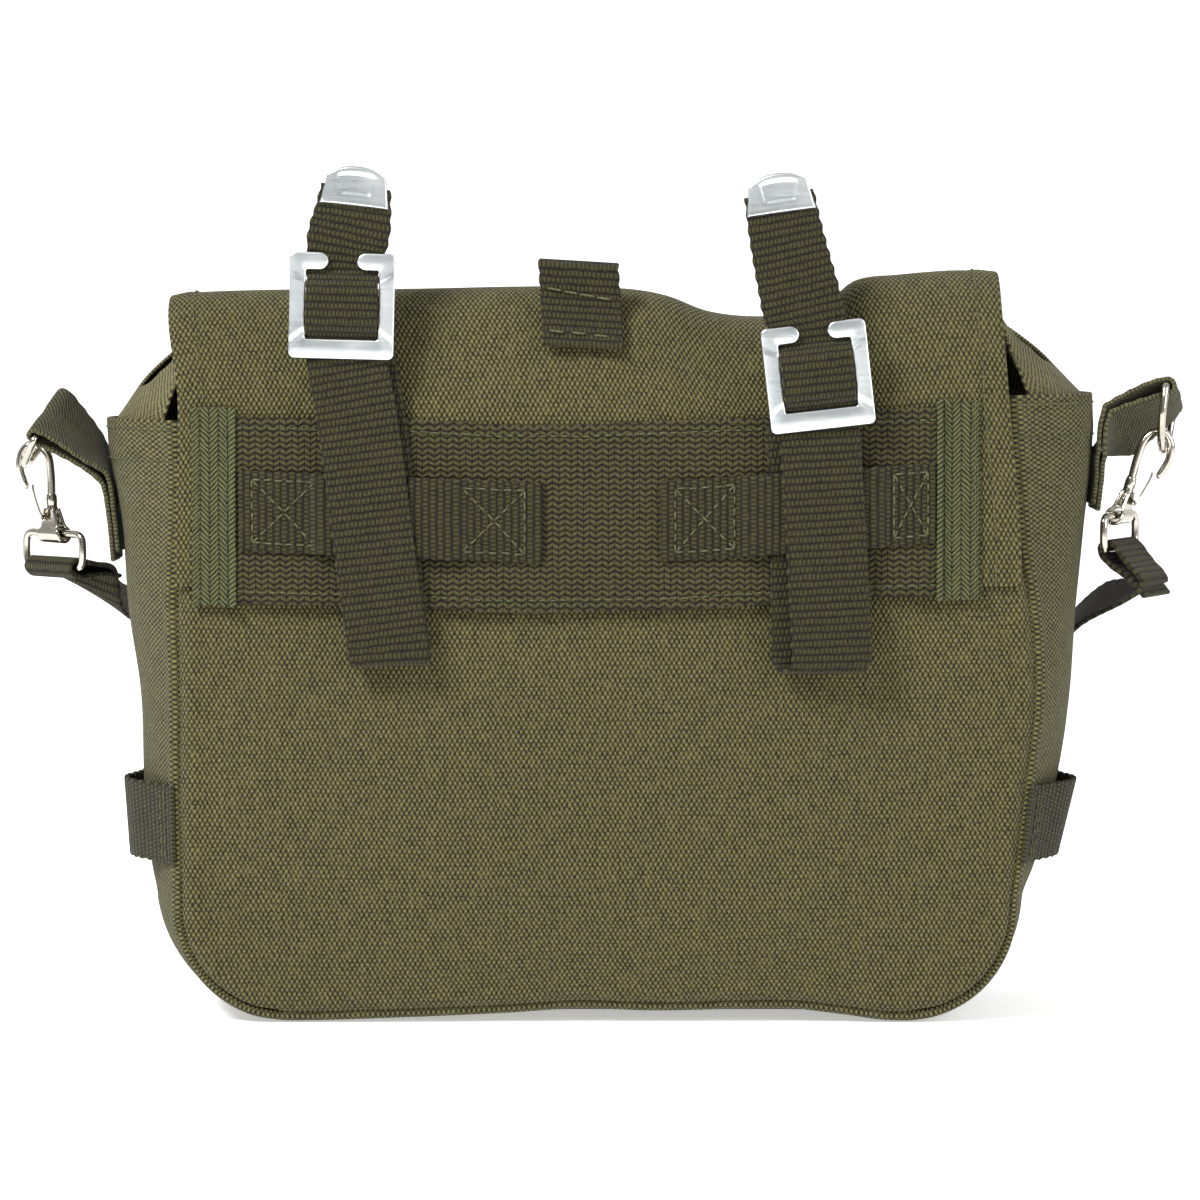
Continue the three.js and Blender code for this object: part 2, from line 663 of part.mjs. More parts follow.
function makeBeltLoop(side) {
  const loop = BELT_LOOPS[side];
  const from = HALF * loop.from;
  const to = HALF * loop.to;
  const rise = STRAP_WIDTH * 0.16;
  const sewnFrom = from + STRAP_WIDTH * loop.sewnFrom;
  const sewnTo = to - STRAP_WIDTH * loop.sewnTo;
  const bridge = shares(6).map((t) => lerp(sewnFrom + rise, sewnTo - rise, t));
  const xs = [from, sewnFrom, ...bridge, sewnTo, to];
  const height = (x) => HEIGHT * lerp(loop.upFrom, loop.upTo, (x - from) / (to - from));
  const outAt = (x) => (x <= sewnFrom || x >= sewnTo ? LOOP_END_OUT : LOOP_OUT);
  const place = (offset) => (u, v) => {
    const z = height(u) + (v - 0.5) * STRAP_WIDTH;
    return onBack(u, z, outAt(u) + offset);
  };
  const geometry = sheet(xs, shares(2), place(WEBBING / 2), place(-WEBBING / 2));
  addMesh("belt_loop_" + side, geometry, colours.webbing, 0.9);
}

// The buckle's own plane: across the strap, up the strap and outwards, at its middle.
function buckleFrame(side) {
  const { buckle } = STRAPS[side];
  const x = HALF * buckle.across;
  const z = HEIGHT * buckle.up;
  const low = onBack(x, Math.min(z, HEIGHT * HEM.left), BUCKLE_OUT);
  return { middle: V(x, low.y, z), turn: radians(buckle.turn) };
}

// Where an equipment strap's middle is at height z, and the direction of its width there. It lies
// flat on what is under both of its edges, and from the buckle up it keeps to the buckle's plane.
function strapStation(side, z, out, shift) {
  const axis = column(STRAPS[side].axis, "up", "across");
  const step = 0.01;
  const lean = (HALF * (axis(z / HEIGHT + step) - axis(z / HEIGHT - step))) / (2 * step * HEIGHT);
  const level = V(1, 0, -lean).normalize();
  const middle = V(HALF * axis(z / HEIGHT), 0, z).addScaledVector(level, shift);
  if (z > HEIGHT * STRAPS[side].buckle.up - 0.6 * BUCKLE.height) {
    middle.y = buckleFrame(side).middle.y - out + BUCKLE_OUT;
    return { at: middle, across: level };
  }
  const [low, high] = [-0.5, 0.5].map((half) => {
    const edge = middle.clone().addScaledVector(level, half * STRAP_WIDTH);
    return onBack(edge.x, Math.min(edge.z, HEIGHT * HEM.left), out).setZ(edge.z);
  });
  return { at: low.clone().add(high).multiplyScalar(0.5), across: high.sub(low).normalize() };
}

// How the strap's working end goes through the buckle, from below: up is the height over the
// buckle's middle as a share of BUCKLE.height, and over is how far it has risen from behind the
// frame (0) to the front of the middle bar (1).
const OVER_BAR = [
  { up: -0.37, over: 0 },
  { up: -0.306, over: 0 },
  { up: -0.27, over: 0.16 },
  { up: -0.218, over: 0.57 },
  { up: -0.141, over: 1 },
  { up: 0, over: 1.04 },
  { up: 0.147, over: 1 },
  { up: 0.232, over: 0.57 },
  { up: 0.288, over: 0.16 },
  { up: 0.326, over: 0 },
  { up: 0.388, over: 0 },
];

// The fixed end's turn round the middle bar: up is the height in bar heights, and round goes from
// the front of the bar (0) to behind it (1).
const ROUND_BAR = [
  { up: -1, round: 0 },
  { up: 0.5, round: 0 },
  { up: 0.96, round: 0.13 },
  { up: 1.04, round: 0.5 },
  { up: 0.96, round: 0.87 },
  { up: 0.5, round: 1 },
];
const IN_TIP = 0.86; // the webbing's share of its width inside a strap end
const IN_BUCKLE = (BUCKLE.width - 2 * BUCKLE.bar - 4 * GAP) / STRAP_WIDTH;
function makeEquipmentStrap(side) {
  const s = STRAPS[side];
  const middle = HEIGHT * s.buckle.up;
  const foot = HEIGHT * s.foot;
  const reach = BUCKLE.height / 2;
  const behind = BUCKLE_OUT - GAP - WEBBING / 2; // a strap that passes behind the bars
  const barFront = BUCKLE_OUT + BUCKLE.sheet - BUCKLE.step;
  const fixed = barFront + GAP + WEBBING / 2;
  const overBar = fixed + GAP + WEBBING + 0.25;
  const rearTop = BUCKLE_OUT - BUCKLE.step - GAP - WEBBING / 2;
  const add = (z, out, shift = 0) => strapStation(side, z, out, shift);
  const frame = buckleFrame(side);
  const across = V(Math.cos(frame.turn), 0, Math.sin(frame.turn));
  const inFrame = (up, out) => {
    const at = frame.middle.clone().add(V(-up * across.z, BUCKLE_OUT - out, up * across.x));
    return { at, across, squeeze: IN_BUCKLE };
  };
  const rearLow = Math.min(middle - 1.9 * reach, HEIGHT * 0.8);
  const rear = shares(4).map((t) => {
    return add(lerp(rearLow, foot + 12, t), REAR_OUT, lerp(s.shiftHigh, s.shiftLow, t));
  });
  const stations = [
    ...ROUND_BAR.map((row) => inFrame(row.up * BUCKLE.cross, lerp(fixed, rearTop, row.round))),
    inFrame(-0.35 * reach, rearTop - 0.5),
    add(middle - reach, Math.min(rearTop - 1.2, REAR_OUT + 2.2), s.shiftHigh),
    ...rear,
    add(foot + 4, REAR_OUT, s.shiftLow),
    add(foot + 1, REAR_OUT + 0.5, s.shiftLow * 0.8),
    add(foot, (REAR_OUT + FRONT_OUT) / 2, s.shiftLow * 0.5),
    add(foot + 1, FRONT_OUT - 0.5, s.shiftLow * 0.2),
    add(foot + 4, FRONT_OUT),
    ...shares(4).map((t) => add(lerp(foot + 12, middle - 1.8 * reach, t), FRONT_OUT)),
    add(middle - reach - 3, behind),
    ...OVER_BAR.map((row) => inFrame(row.up * BUCKLE.height, lerp(behind, overBar, row.over))),
    add(middle + reach + 3, behind),
    ...shares(3).map((t) => {
      const station = add(lerp(middle + reach + 8, HEIGHT * s.top, t), behind);
      return { ...station, squeeze: lerp(1, IN_TIP, t) };
    }),
  ];
  addMesh("equipment_strap_" + side, strap(stations, STRAP_WIDTH, WEBBING, 1), colours.webbing, 0.9);
}

// The outline of the buckle, open at the top between its two prongs.
function makeBuckle(side) {
  const { width, height, bar, foot, mouth, prong, sheet: thick, corner } = BUCKLE;
  const w = width / 2;
  const h = height / 2;
  const inner = w - bar;
  const frame = new THREE.Shape();
  frame.moveTo(-w + corner, -h);
  frame.lineTo(w - corner, -h);
  frame.absarc(w - corner, -h + corner, corner, -Math.PI / 2, 0, false);
  frame.absarc(w - corner, h - corner, corner, 0, Math.PI / 2, false);
  frame.absarc(mouth / 2 + prong / 2, h - prong / 2, prong / 2, Math.PI / 2, 1.5 * Math.PI, false);
  frame.lineTo(inner, h - prong);
  frame.lineTo(inner, -h + foot);
  frame.lineTo(-inner, -h + foot);
  frame.lineTo(-inner, h - prong);
  frame.absarc(-mouth / 2 - prong / 2, h - prong / 2, prong / 2, 1.5 * Math.PI, 2.5 * Math.PI, false);
  frame.absarc(-w + corner, h - corner, corner, Math.PI / 2, Math.PI, false);
  frame.absarc(-w + corner, -h + corner, corner, Math.PI, 1.5 * Math.PI, false);
  const flat = new THREE.ExtrudeGeometry(frame, { depth: thick, bevelEnabled: false, curveSegments: 4 });
  const cross = new THREE.BoxGeometry(width - bar, BUCKLE.cross, thick);
  cross.translate(0, 0, thick / 2 - BUCKLE.step);
  const geometry = fromSolid(solid(flat).add(solid(cross)));
  const mesh = addMesh("strap_buckle_" + side, geometry, colours.aluminium, 0.35, 1);
  const place = buckleFrame(side);
  mesh.rotation.x = Math.PI / 2;
  const holder = new THREE.Group();
  holder.position.copy(place.middle);
  holder.rotation.y = -place.turn;
  holder.add(mesh);
  group.add(holder);
}

// A folded metal end: an arched outline with a pocket for the webbing.
function makeTip(side) {
  const s = STRAPS[side];
  const top = HEIGHT * s.top;
  const thick = WEBBING + 2 * (GAP + TIP.sheet);
  const w = TIP.width / 2;
  const shoulder = { x: w * 0.86, y: TIP.height * 0.72 - TIP.grip };
  const crest = TIP.height - TIP.grip;
  const outline = new THREE.Shape();
  outline.moveTo(-w, -TIP.grip);
  outline.lineTo(w, -TIP.grip);
  outline.lineTo(shoulder.x, shoulder.y);
  outline.quadraticCurveTo(w * 0.6, crest, 0, crest);
  outline.quadraticCurveTo(-w * 0.6, crest, -shoulder.x, shoulder.y);
  const block = new THREE.ExtrudeGeometry(outline, { depth: thick, bevelEnabled: false, curveSegments: 5 });
  block.translate(0, 0, -thick / 2);
  const pocket = new THREE.BoxGeometry(STRAP_WIDTH + 8, 2 * TIP.grip, WEBBING + 2 * GAP);
  pocket.translate(0, GAP - TIP.grip, 0);
  const geometry = fromSolid(solid(block).subtract(solid(pocket)));
  const behind = BUCKLE_OUT - GAP - WEBBING / 2;
  const end = strapStation(side, top, behind, 0);
  const mesh = addMesh("strap_tip_" + side, geometry, colours.aluminium, 0.35, 1);
  mesh.rotation.x = Math.PI / 2;
  const holder = new THREE.Group();
  holder.position.copy(end.at);
  holder.rotation.y = Math.atan2(-end.across.z, end.across.x);
  holder.add(mesh);
  group.add(holder);
}

// A folded webbing tab on the ridge, sewn down at its lower end.
function makeTopTab() {
  const x = -0.028 * HALF;
  const top = HEIGHT * 1.035;
  const lean = 0.1;
  const station = (drop, out) => {
    const z = top - drop;
    const face = flapFaceAt(x, Math.min(z, HEIGHT * 0.97));
    return { at: V(x + lean * drop, face - out, z), across: V(1, 0, -lean).normalize() };
  };
  const near = CLOTH_GAP + GAP + WEBBING / 2;
  const far = near + WEBBING + GAP;
  const stations = [
    station(TAB_LENGTH - 2, near),
    station(TAB_LENGTH * 0.7, near),
    station(TAB_LENGTH * 0.45, near + 0.1),
    station(TAB_LENGTH * 0.2, near + 0.2),
    station(1.2, near + 0.3),
    station(0, (near + far) / 2 + 0.4),
    station(1.2, far + 1.2),
    station(TAB_LENGTH * 0.2, far + 0.9),
    station(TAB_LENGTH * 0.45, far + 0.3),
    station(TAB_LENGTH * 0.7, far),
    station(TAB_LENGTH, far),
  ];
  addMesh("top_tab", strap(stations, STRAP_WIDTH, WEBBING, 2), colours.webbing, 0.9);
}

// The y of the flap's outer face on the back, at x and height z.
function flapFaceAt(x, z) {
  const out = CLOTH_GAP + CANVAS;
  const u = x / WIDTH + 0.5;
  const count = 90;
  for (const i of range(count)) {
    const a = flapFace(u, (i * 0.42) / count, out);
    const b = flapFace(u, ((i + 1) * 0.42) / count, out);
    if (a.z <= z && b.z > z) return lerp(a.y, b.y, (z - a.z) / (b.z - a.z));
  }
  return -DEPTH / 2 - backSwell(x, z) - out;
}

// Webbing loops low on the gusset, sewn down at the back seam and past the middle.
function makeSideTab(side) {
  const z = HEIGHT * 0.272;
  const near = CLOTH_GAP + WEBBING / 2;
  const rows = [
    { t: -0.98, out: near },
    { t: -0.86, out: near },
    { t: -0.72, out: near + 0.3 * SIDE_TAB_STAND },
    { t: -0.52, out: near + 0.9 * SIDE_TAB_STAND },
    { t: -0.34, out: near + SIDE_TAB_STAND },
    { t: -0.16, out: near + 0.75 * SIDE_TAB_STAND },
    { t: 0.02, out: near + 0.18 * SIDE_TAB_STAND },
    { t: 0.14, out: near + 0.1 },
    { t: 0.34, out: near + 0.1 },
  ];
  const stations = rows.map((row) => {
    const lower = onGusset(side, z - STRAP_WIDTH / 2, row.t, row.out);
    const upper = onGusset(side, z + STRAP_WIDTH / 2, row.t, row.out);
    const across = upper.clone().sub(lower).normalize().multiplyScalar(sign(side));
    return { at: upper.add(lower).multiplyScalar(0.5), across };
  });
  addMesh("side_tab_" + side, strap(stations, STRAP_WIDTH, WEBBING, 2), colours.webbing, 0.9);
}

// The D-ring's place: the middle of its straight bar, and its own two directions.
function dRingFrame(side) {
  const hardware = HARDWARE[side];
  const bar = V(...hardware.bar).normalize();
  const towards = V(...hardware.bow);
  const bow = towards.addScaledVector(bar, -towards.dot(bar)).normalize();
  const anchor = onGusset(side, HEIGHT * hardware.loopHigh, 0, hardware.reach);
  const z = HEIGHT * hardware.barUp;
  return { middle: V(anchor.x, -bow.y * D_DROP * 0.4, z), bar, bow };
}

function makeDRing(side) {
  const { middle, bar, bow } = dRingFrame(side);
  const half = (D_INNER + D_WIRE) / 2;
  const at = (a, b) => middle.clone().addScaledVector(bar, a).addScaledVector(bow, b);
  const c = D_CORNER;
  const legs = 2 * c;
  const points = [
    at(-half + c, 0),
    at(0, 0),
    at(half - c, 0),
    at(half - 0.2 * c, 0.3 * c),
    at(half, 1.2 * c),
  ];
  for (const t of shares(8)) {
    const angle = t * Math.PI;
    points.push(at(half * Math.cos(angle), legs + (D_DROP - legs) * Math.sin(angle)));
  }
  points.push(at(-half, 1.2 * c), at(-half + 0.2 * c, 0.3 * c));
  addMesh("d_ring_" + side, closedWire(points, D_WIRE, 7, 26), colours.nickel, 0.25, 1);
}

// A closed ring of wire, swept as a tube whose last section is its first.
function closedWire(points, diameter, sides, steps) {
  const way = new THREE.CatmullRomCurve3(points, true, "centripetal");
  const frames = way.computeFrenetFrames(steps, true);
  const reach = diameter / 2 / Math.cos(Math.PI / sides);
  const positions = [];
  const faces = [];
  for (const j of range(steps)) {
    const middle = way.getPointAt(j / steps);
    for (const i of range(sides)) {
      const angle = (2 * Math.PI * (i + 0.5)) / sides;
      const point = middle.clone();
      point.addScaledVector(frames.normals[j], reach * Math.cos(angle));
      point.addScaledVector(frames.binormals[j], reach * Math.sin(angle));
      positions.push(...point.toArray());
    }
  }
  for (const j of range(steps)) {
    for (const i of range(sides)) {
      const a = j * sides + i;
      const b = j * sides + ((i + 1) % sides);
      const c = ((j + 1) % steps) * sides + ((i + 1) % sides);
      const d = ((j + 1) % steps) * sides + i;
      faces.push(a, b, c, a, c, d);
    }
  }
  const geometry = new THREE.BufferGeometry();
  geometry.setAttribute("position", new THREE.Float32BufferAttribute(positions, 3));
  geometry.setIndex(faces);
  return geometry;
}

// The webbing tab that holds a D-ring: both ends are sewn on the gusset, one over the other.
function makeCarryLoop(side) {
  const hardware = HARDWARE[side];
  const { middle, bar } = dRingFrame(side);
  const low = HEIGHT * hardware.loopLow;
  const high = HEIGHT * hardware.loopHigh;
  const near = GAP + WEBBING / 2;
  const upper = near + WEBBING + GAP;
  const level = V(0, Math.sign(bar.y), 0);
  const half = level.clone().lerp(bar, 0.5).normalize();
  const turnRadius = D_WIRE / 2 + GAP + 0.25 + WEBBING / 2;
  const root = onGusset(side, high, 0, near);
  const toBar = middle.clone().sub(root).normalize();
  const up = V(0, 0, 0).crossVectors(bar, toBar).normalize();
  if (up.z < 0) up.negate();
  const around = (angle) => {
    const point = middle.clone().addScaledVector(toBar, turnRadius * Math.sin(angle));
    return point.addScaledVector(up, -turnRadius * Math.cos(angle));
  };
  const between = (share, lift) => root.clone().lerp(middle, share).addScaledVector(up, lift);
  const stations = [
    { at: onGusset(side, low, 0, upper), across: level },
    { at: onGusset(side, lerp(low, high, 0.5), 0, upper), across: level },
    { at: onGusset(side, lerp(low, high, 0.85), 0, upper + 0.4), across: level },
    { at: between(0.35, -1.4), across: half },
    { at: around(0), across: bar },
    { at: around(Math.PI / 4), across: bar },
    { at: around(Math.PI / 2), across: bar },
    { at: around((3 * Math.PI) / 4), across: bar },
    { at: around(Math.PI), across: bar },
    { at: between(0.35, 1.6), across: half },
    { at: onGusset(side, lerp(low, high, 0.95), 0, near + 0.2), across: level },
    { at: onGusset(side, lerp(low, high, 0.5), 0, near), across: level },
    { at: onGusset(side, lerp(low, high, 0.1), 0, near), across: level },
  ];
  addMesh("carry_loop_" + side, strap(stations, STRAP_WIDTH, WEBBING, 2), colours.loop, 0.9);
}

// The hook's own plane: up its shank, and sideways to its nose. The middle is its barrel's.
function hookFrame(side) {
  const lean = radians(HARDWARE[side].lean);
  const up = V(sign(side) * Math.sin(lean), 0, Math.cos(lean));
  const nose = V(sign(side) * Math.cos(lean), 0, -Math.sin(lean));
  const ring = dRingFrame(side);
  const bowEnd = ring.middle.clone().addScaledVector(ring.bow, D_DROP);
  const seat = HARDWARE[side].seat;
  bowEnd.addScaledVector(up, -HOOK.reach * seat[0]);
  bowEnd.addScaledVector(nose, -HOOK.mouth * seat[1]);
  return { middle: bowEnd, up, nose };
}

// Which way the strap ring's long bars run.
function ringFrame(side) {
  const turn = radians(HARDWARE[side].ringTurn);
  return { middle: hookFrame(side).middle, along: V(Math.cos(turn), Math.sin(turn), 0) };
}

function makeHook(side) {
  const { middle, up, nose } = hookFrame(side);
  const { along } = ringFrame(side);
  const m = HOOK.mouth;
  const r = HOOK.reach;
  const at = (a, b) => middle.clone().addScaledVector(up, a).addScaledVector(nose, b);
  const points = [
    at(HOOK.barrelRadius * 0.8, 0),
    at(r * 0.4, -m * 0.03),
    at(r * 0.64, -m * 0.08),
    at(r * 0.84, -m * 0.04),
    at(r * 0.955, m * 0.18),
    at(r * 0.985, m * 0.5),
    at(r * 0.91, m * 0.85),
    at(r * 0.75, m),
    at(r * 0.6, m * 0.92),
    at(r * 0.5, m * NOSE_END),
  ];
  const hook = solid(wire(points, HOOK.wire, 8, 26));
  const sleeveFoot = HOOK.barrelRadius * 0.75;
  const sleeveWay = [at(sleeveFoot, 0), at(sleeveFoot + HOOK.sleeveLength, -m * 0.03)];
  const sleeve = solid(wire(sleeveWay, HOOK.sleeve, 10, 1));
  const barrelWay = [
    middle.clone().addScaledVector(along, -HOOK.barrel / 2),
    middle.clone().addScaledVector(along, HOOK.barrel / 2),
  ];
  const barrel = solid(wire(barrelWay, 2 * HOOK.barrelRadius, 14, 1));
  const boreWay = [
    middle.clone().addScaledVector(along, -HOOK.barrel),
    middle.clone().addScaledVector(along, HOOK.barrel),
  ];
  const bore = solid(wire(boreWay, RING.wire + 2 * GAP + 0.2, 14, 1));
  const body = hook.add(sleeve).add(barrel).subtract(bore);
  addMesh("snap_hook_" + side, fromSolid(body), colours.nickel, 0.25, 1);
}

// The sprung lever that shuts the hook's mouth, on a hinge square to the hook's plane.
function makeGate(side) {
  const { middle, up, nose } = hookFrame(side);
  const at = (a, b) => middle.clone().addScaledVector(up, a).addScaledVector(nose, b);
  const foot = HOOK.barrelRadius + 1.6;
  const pivot = at(foot, HOOK.sleeve / 2 + GAP + 0.9);
  const end = at(foot + GATE.length, HOOK.mouth * NOSE_END - HOOK.wire / 2 - GAP - GATE.sheet / 2);
  const width = V(0, 1, 0);
  const middleWay = pivot.clone().lerp(end, 0.5).addScaledVector(nose, 0.3);
  const stations = [pivot, middleWay, end].map((point) => ({ at: point, across: width }));
  const geometry = strap(stations, GATE.width, GATE.sheet, 3);
  const mesh = addMesh("hook_gate_" + side, geometry, colours.nickel, 0.25, 1);
  mesh.userData.hinge = pivot.toArray();
}

function makeStrapRing(side) {
  const { middle, along } = ringFrame(side);
  const half = (RING.inner + RING.wire) / 2;
  const drop = RING.drop + RING.wire;
  const c = RING.corner;
  const at = (a, b) => middle.clone().addScaledVector(along, a).add(V(0, 0, -b));
  const corners = [
    { a: half - c, b: c, from: -90 },
    { a: half - c, b: drop - c, from: 0 },
    { a: -half + c, b: drop - c, from: 90 },
    { a: -half + c, b: c, from: 180 },
  ];
  const points = corners.flatMap((corner) =>
    shares(3).map((t) => {
      const angle = radians(corner.from + 90 * t);
      return at(corner.a + c * Math.cos(angle), corner.b + c * Math.sin(angle));
    }),
  );
  const straight = half - 2 * c;
  points.splice(8, 0, at(straight, drop), at(0, drop), at(-straight, drop));
  points.push(at(-straight, 0), at(0, 0), at(straight, 0));
  addMesh("strap_ring_" + side, closedWire(points, RING.wire, 6, 32), colours.nickel, 0.25, 1);
}

// One end of the shoulder strap: round the ring's lower bar and back along itself.
function ringWrap(side) {
  const { middle, along } = ringFrame(side);
  const { dip, leaves } = HARDWARE[side];
  const bar = middle.clone().add(V(0, 0, -RING.drop - RING.wire));
  const level = V(-along.y, along.x, 0).multiplyScalar(leaves);
  const away = level.clone().multiplyScalar(Math.cos(radians(dip))).add(V(0, 0, -Math.sin(radians(dip))));
  const over = V(0, 0, 0).crossVectors(away, along).normalize();
  if (over.z < 0) over.negate();
  const reach = RING.wire / 2 + CLOTH_GAP + WEBBING / 2;
  const tail = reach - WEBBING - 2 * GAP;
  const at = (out, rise) => {
    const point = bar.clone().addScaledVector(away, out).addScaledVector(over, rise);
    return { at: point, across: along.clone(), squeeze: 0.9 };
  };
  return [
    at(20, tail),
    at(12, tail - 0.8),
    at(reach + 2, -reach * 0.85),
    at(0, -reach),
    at(-reach * 0.7, -reach * 0.7),
    at(-reach, 0),
    at(-reach * 0.7, reach * 0.7),
    at(0, reach),
    at(reach + 5, reach),
    at(16, reach),
  ];
}

function makeShoulderStrap() {
  const way = TRAIL_WAY.map((row) => ({
    at: V(HALF * row.across, TRAIL * row.back, HEIGHT * row.up),
    tilt: radians(row.tilt),
  }));
  const route = way.map((row, i) => {
    const ahead = way[Math.min(i + 1, way.length - 1)].at.clone();
    const tangent = ahead.sub(way[Math.max(i - 1, 0)].at).normalize();
    const level = V(0, 0, 1).cross(tangent).normalize().negate();
    const rise = V(0, 0, 0).crossVectors(level, tangent).normalize().negate();
    const across = level.multiplyScalar(Math.cos(row.tilt)).addScaledVector(rise, Math.sin(row.tilt));
    return { at: row.at, across };
  });
  const rightEnd = ringWrap("right").reverse();
  for (const station of rightEnd) station.across.negate();
  const stations = [...ringWrap("left"), ...route, ...rightEnd];
  const lengths = new THREE.CatmullRomCurve3(stations.map((s) => s.at), false, "centripetal");
  group.userData.shoulderStrapLength = lengths.getLength();
  addMesh("shoulder_strap", strap(stations, STRAP_WIDTH, WEBBING, 2), colours.webbing, 0.9);
}

makePanels();
makeGusset();
makeFlap();
makeBand();
makeTopTab();
makeShoulderStrap();
for (const side of ["left", "right"]) {
  makeEar(side);
  makeBeltLoop(side);
  makeEquipmentStrap(side);
  makeBuckle(side);
  makeTip(side);
  makeSideTab(side);
  makeCarryLoop(side);
  makeDRing(side);
  makeHook(side);
  makeGate(side);
  makeStrapRing(side);
}

export default group;
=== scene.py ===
# %% [markdown]
# # An army shoulder bag, seen from its back
#
# The bag stands on its base: a box of heavy canvas, a flap, two webbing straps through belt loops,
# and a shoulder strap on snap hooks. Its solids come from the frame. Here each piece of cloth is
# made again as a fine curved sheet with its seams, hems and stitches, and each fitting as smooth
# metal. All sizes below are millimetres until a mesh is made.

import bpy
import numpy as np
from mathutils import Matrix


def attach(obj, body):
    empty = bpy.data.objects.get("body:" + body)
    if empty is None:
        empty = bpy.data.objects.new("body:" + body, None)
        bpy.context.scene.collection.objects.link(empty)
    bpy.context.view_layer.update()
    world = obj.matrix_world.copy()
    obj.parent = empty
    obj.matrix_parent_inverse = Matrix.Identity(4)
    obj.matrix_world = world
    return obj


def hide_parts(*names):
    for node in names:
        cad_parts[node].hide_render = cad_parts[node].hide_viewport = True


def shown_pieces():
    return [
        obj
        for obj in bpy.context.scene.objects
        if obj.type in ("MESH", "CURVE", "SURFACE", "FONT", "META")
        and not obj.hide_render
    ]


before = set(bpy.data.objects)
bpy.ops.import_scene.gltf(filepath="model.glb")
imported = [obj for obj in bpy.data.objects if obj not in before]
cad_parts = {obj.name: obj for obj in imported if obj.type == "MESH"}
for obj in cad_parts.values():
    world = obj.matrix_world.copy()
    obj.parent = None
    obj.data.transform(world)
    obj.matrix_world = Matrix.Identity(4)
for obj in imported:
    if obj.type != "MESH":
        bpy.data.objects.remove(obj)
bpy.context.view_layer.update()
MM = 0.001

# %% [markdown]
# ## The camera comes first
#
# The photograph looks straight at the back from about a metre and a half, a little from above. A
# long lens keeps the sides nearly parallel, so the camera is a perspective one whose frame is
# 390 mm wide at the back panel.

# %% Camera
BACK_Y = -45.0
FRAME_WIDTH = 390.0
CAMERA_FAR = 1500.0
CAMERA_UP = np.radians(4.0)
aim = np.array([3.25, BACK_Y, 139.0])
camera = bpy.data.objects.new("camera", bpy.data.cameras.new("camera"))
bpy.context.collection.objects.link(camera)
camera.data.sensor_width = 36.0
camera.data.lens = 36.0 * CAMERA_FAR / FRAME_WIDTH
camera.location = (aim + CAMERA_FAR * np.array([0, -np.cos(CAMERA_UP), np.sin(CAMERA_UP)])) * MM
camera.rotation_euler = (np.pi / 2 - CAMERA_UP, 0, 0)
bpy.context.scene.camera = camera
print("lens", round(camera.data.lens, 1), "mm")

# %% [markdown]
# ## The shape of the bag in a few tables
#
# Canvas sags, so no side is straight. Each table has a row for each height or place, as shares of
# the bag's size, and a smooth curve runs through each column. A curve needs only a few rows, and
# it can be read at every point of a fine grid at once.

# %% Driving sizes
WIDTH, DEPTH, HEIGHT = 270.0, 90.0, 240.0
HALF = WIDTH / 2
CORNER_RADIUS = 34.0
BASE_BULGE = 3.0
CORNER_TOP = BASE_BULGE + CORNER_RADIUS
BASE_ARCH, ARCH_REACH = 4.4, 36.0
BACK_CROWN, FRONT_CROWN = 8.0, 10.0
CANVAS, EAR_CLOTH, TAPE_CLOTH, WEBBING, BAND_THICK = 1.6, 1.2, 0.9, 1.5, 1.6
STRAP_WIDTH, BAND_HEIGHT, TAPE_WIDTH = 25.0, 59.5, 12.5
GAP, CLOTH_GAP = 0.3, 0.65
SIGN = {"left": -1, "right": 1}
HEM = {"left": 0.82 * HEIGHT, "right": 0.854 * HEIGHT}

# %% Tables, with shares of HEIGHT in up, of half of WIDTH in across, left and right
SIDES = {
    "up": [0.154, 0.208, 0.321, 0.446, 0.567, 0.667, 0.767, 0.854],
    "left": [0.993, 0.991, 0.994, 0.993, 0.996, 0.987, 0.98, 0.982],
    "right": [1.022, 1.03, 1.052, 1.076, 1.063, 1.028, 1.01, 1.0],
    "bulge_left": [0.122, 0.15, 0.169, 0.183, 0.222, 0.256, 0.304, 0.316],
    "bulge_right": [0.072, 0.111, 0.156, 0.17, 0.208, 0.289, 0.344, 0.353],
}
ARCH = {
    "across": [-0.72, -0.45, -0.21, -0.03, 0.16, 0.48, 0.61, 0.74],
    "lift": [0, 0.25, 0.61, 1, 0.82, 1, 0.52, 0],
}
FULLNESS = {"up": [0, 0.1, 0.25, 0.45, 0.65, 0.85, 1], "full": [0, 0.5, 0.85, 1, 0.85, 0.6, 0.5]}
DENTS = {
    "across": [0.66, -0.72, 0.72, 0.1, -0.2, 0.17],
    "up": [0.42, 0.17, 0.2, 0.3, 0.92, 0.92],
    "wide": [0.2, 0.2, 0.18, 0.3, 0.14, 0.14],
    "tall": [0.14, 0.1, 0.12, 0.12, 0.06, 0.06],
    "depth": [0.3, 0.3, 0.25, 0.2, 0.25, 0.3],
}
RIDGE = {
    "across": [-1.05, -0.94, -0.45, -0.12, 0.1, 0.2, 0.3, 0.41, 0.52, 0.6, 0.66, 0.76, 0.92, 1.05],
    "up": [0.975, 0.985, 0.99, 0.994, 0.99, 0.98, 0.958, 0.95, 0.956, 0.975, 1.002, 1.01, 1.016, 1.01],
}
FLAP_WAY = {
    "back": [0, 0, 0, 0.008, 0.045, 0.11, 0.2, 0.32, 0.5, 0.7, 0.85, 0.95, 0.99, 1, 1, 1, 1],
    "rise": [0, 0.25, 0.5, 0.68, 0.83, 0.94, 0.995, 0.995, 0.965, 0.93, 0.915, 0.885, 0.85, 0.8]
    + [0.5, 0.25, 0],
}
FLAP_WAY["step"] = list(range(len(FLAP_WAY["back"])))
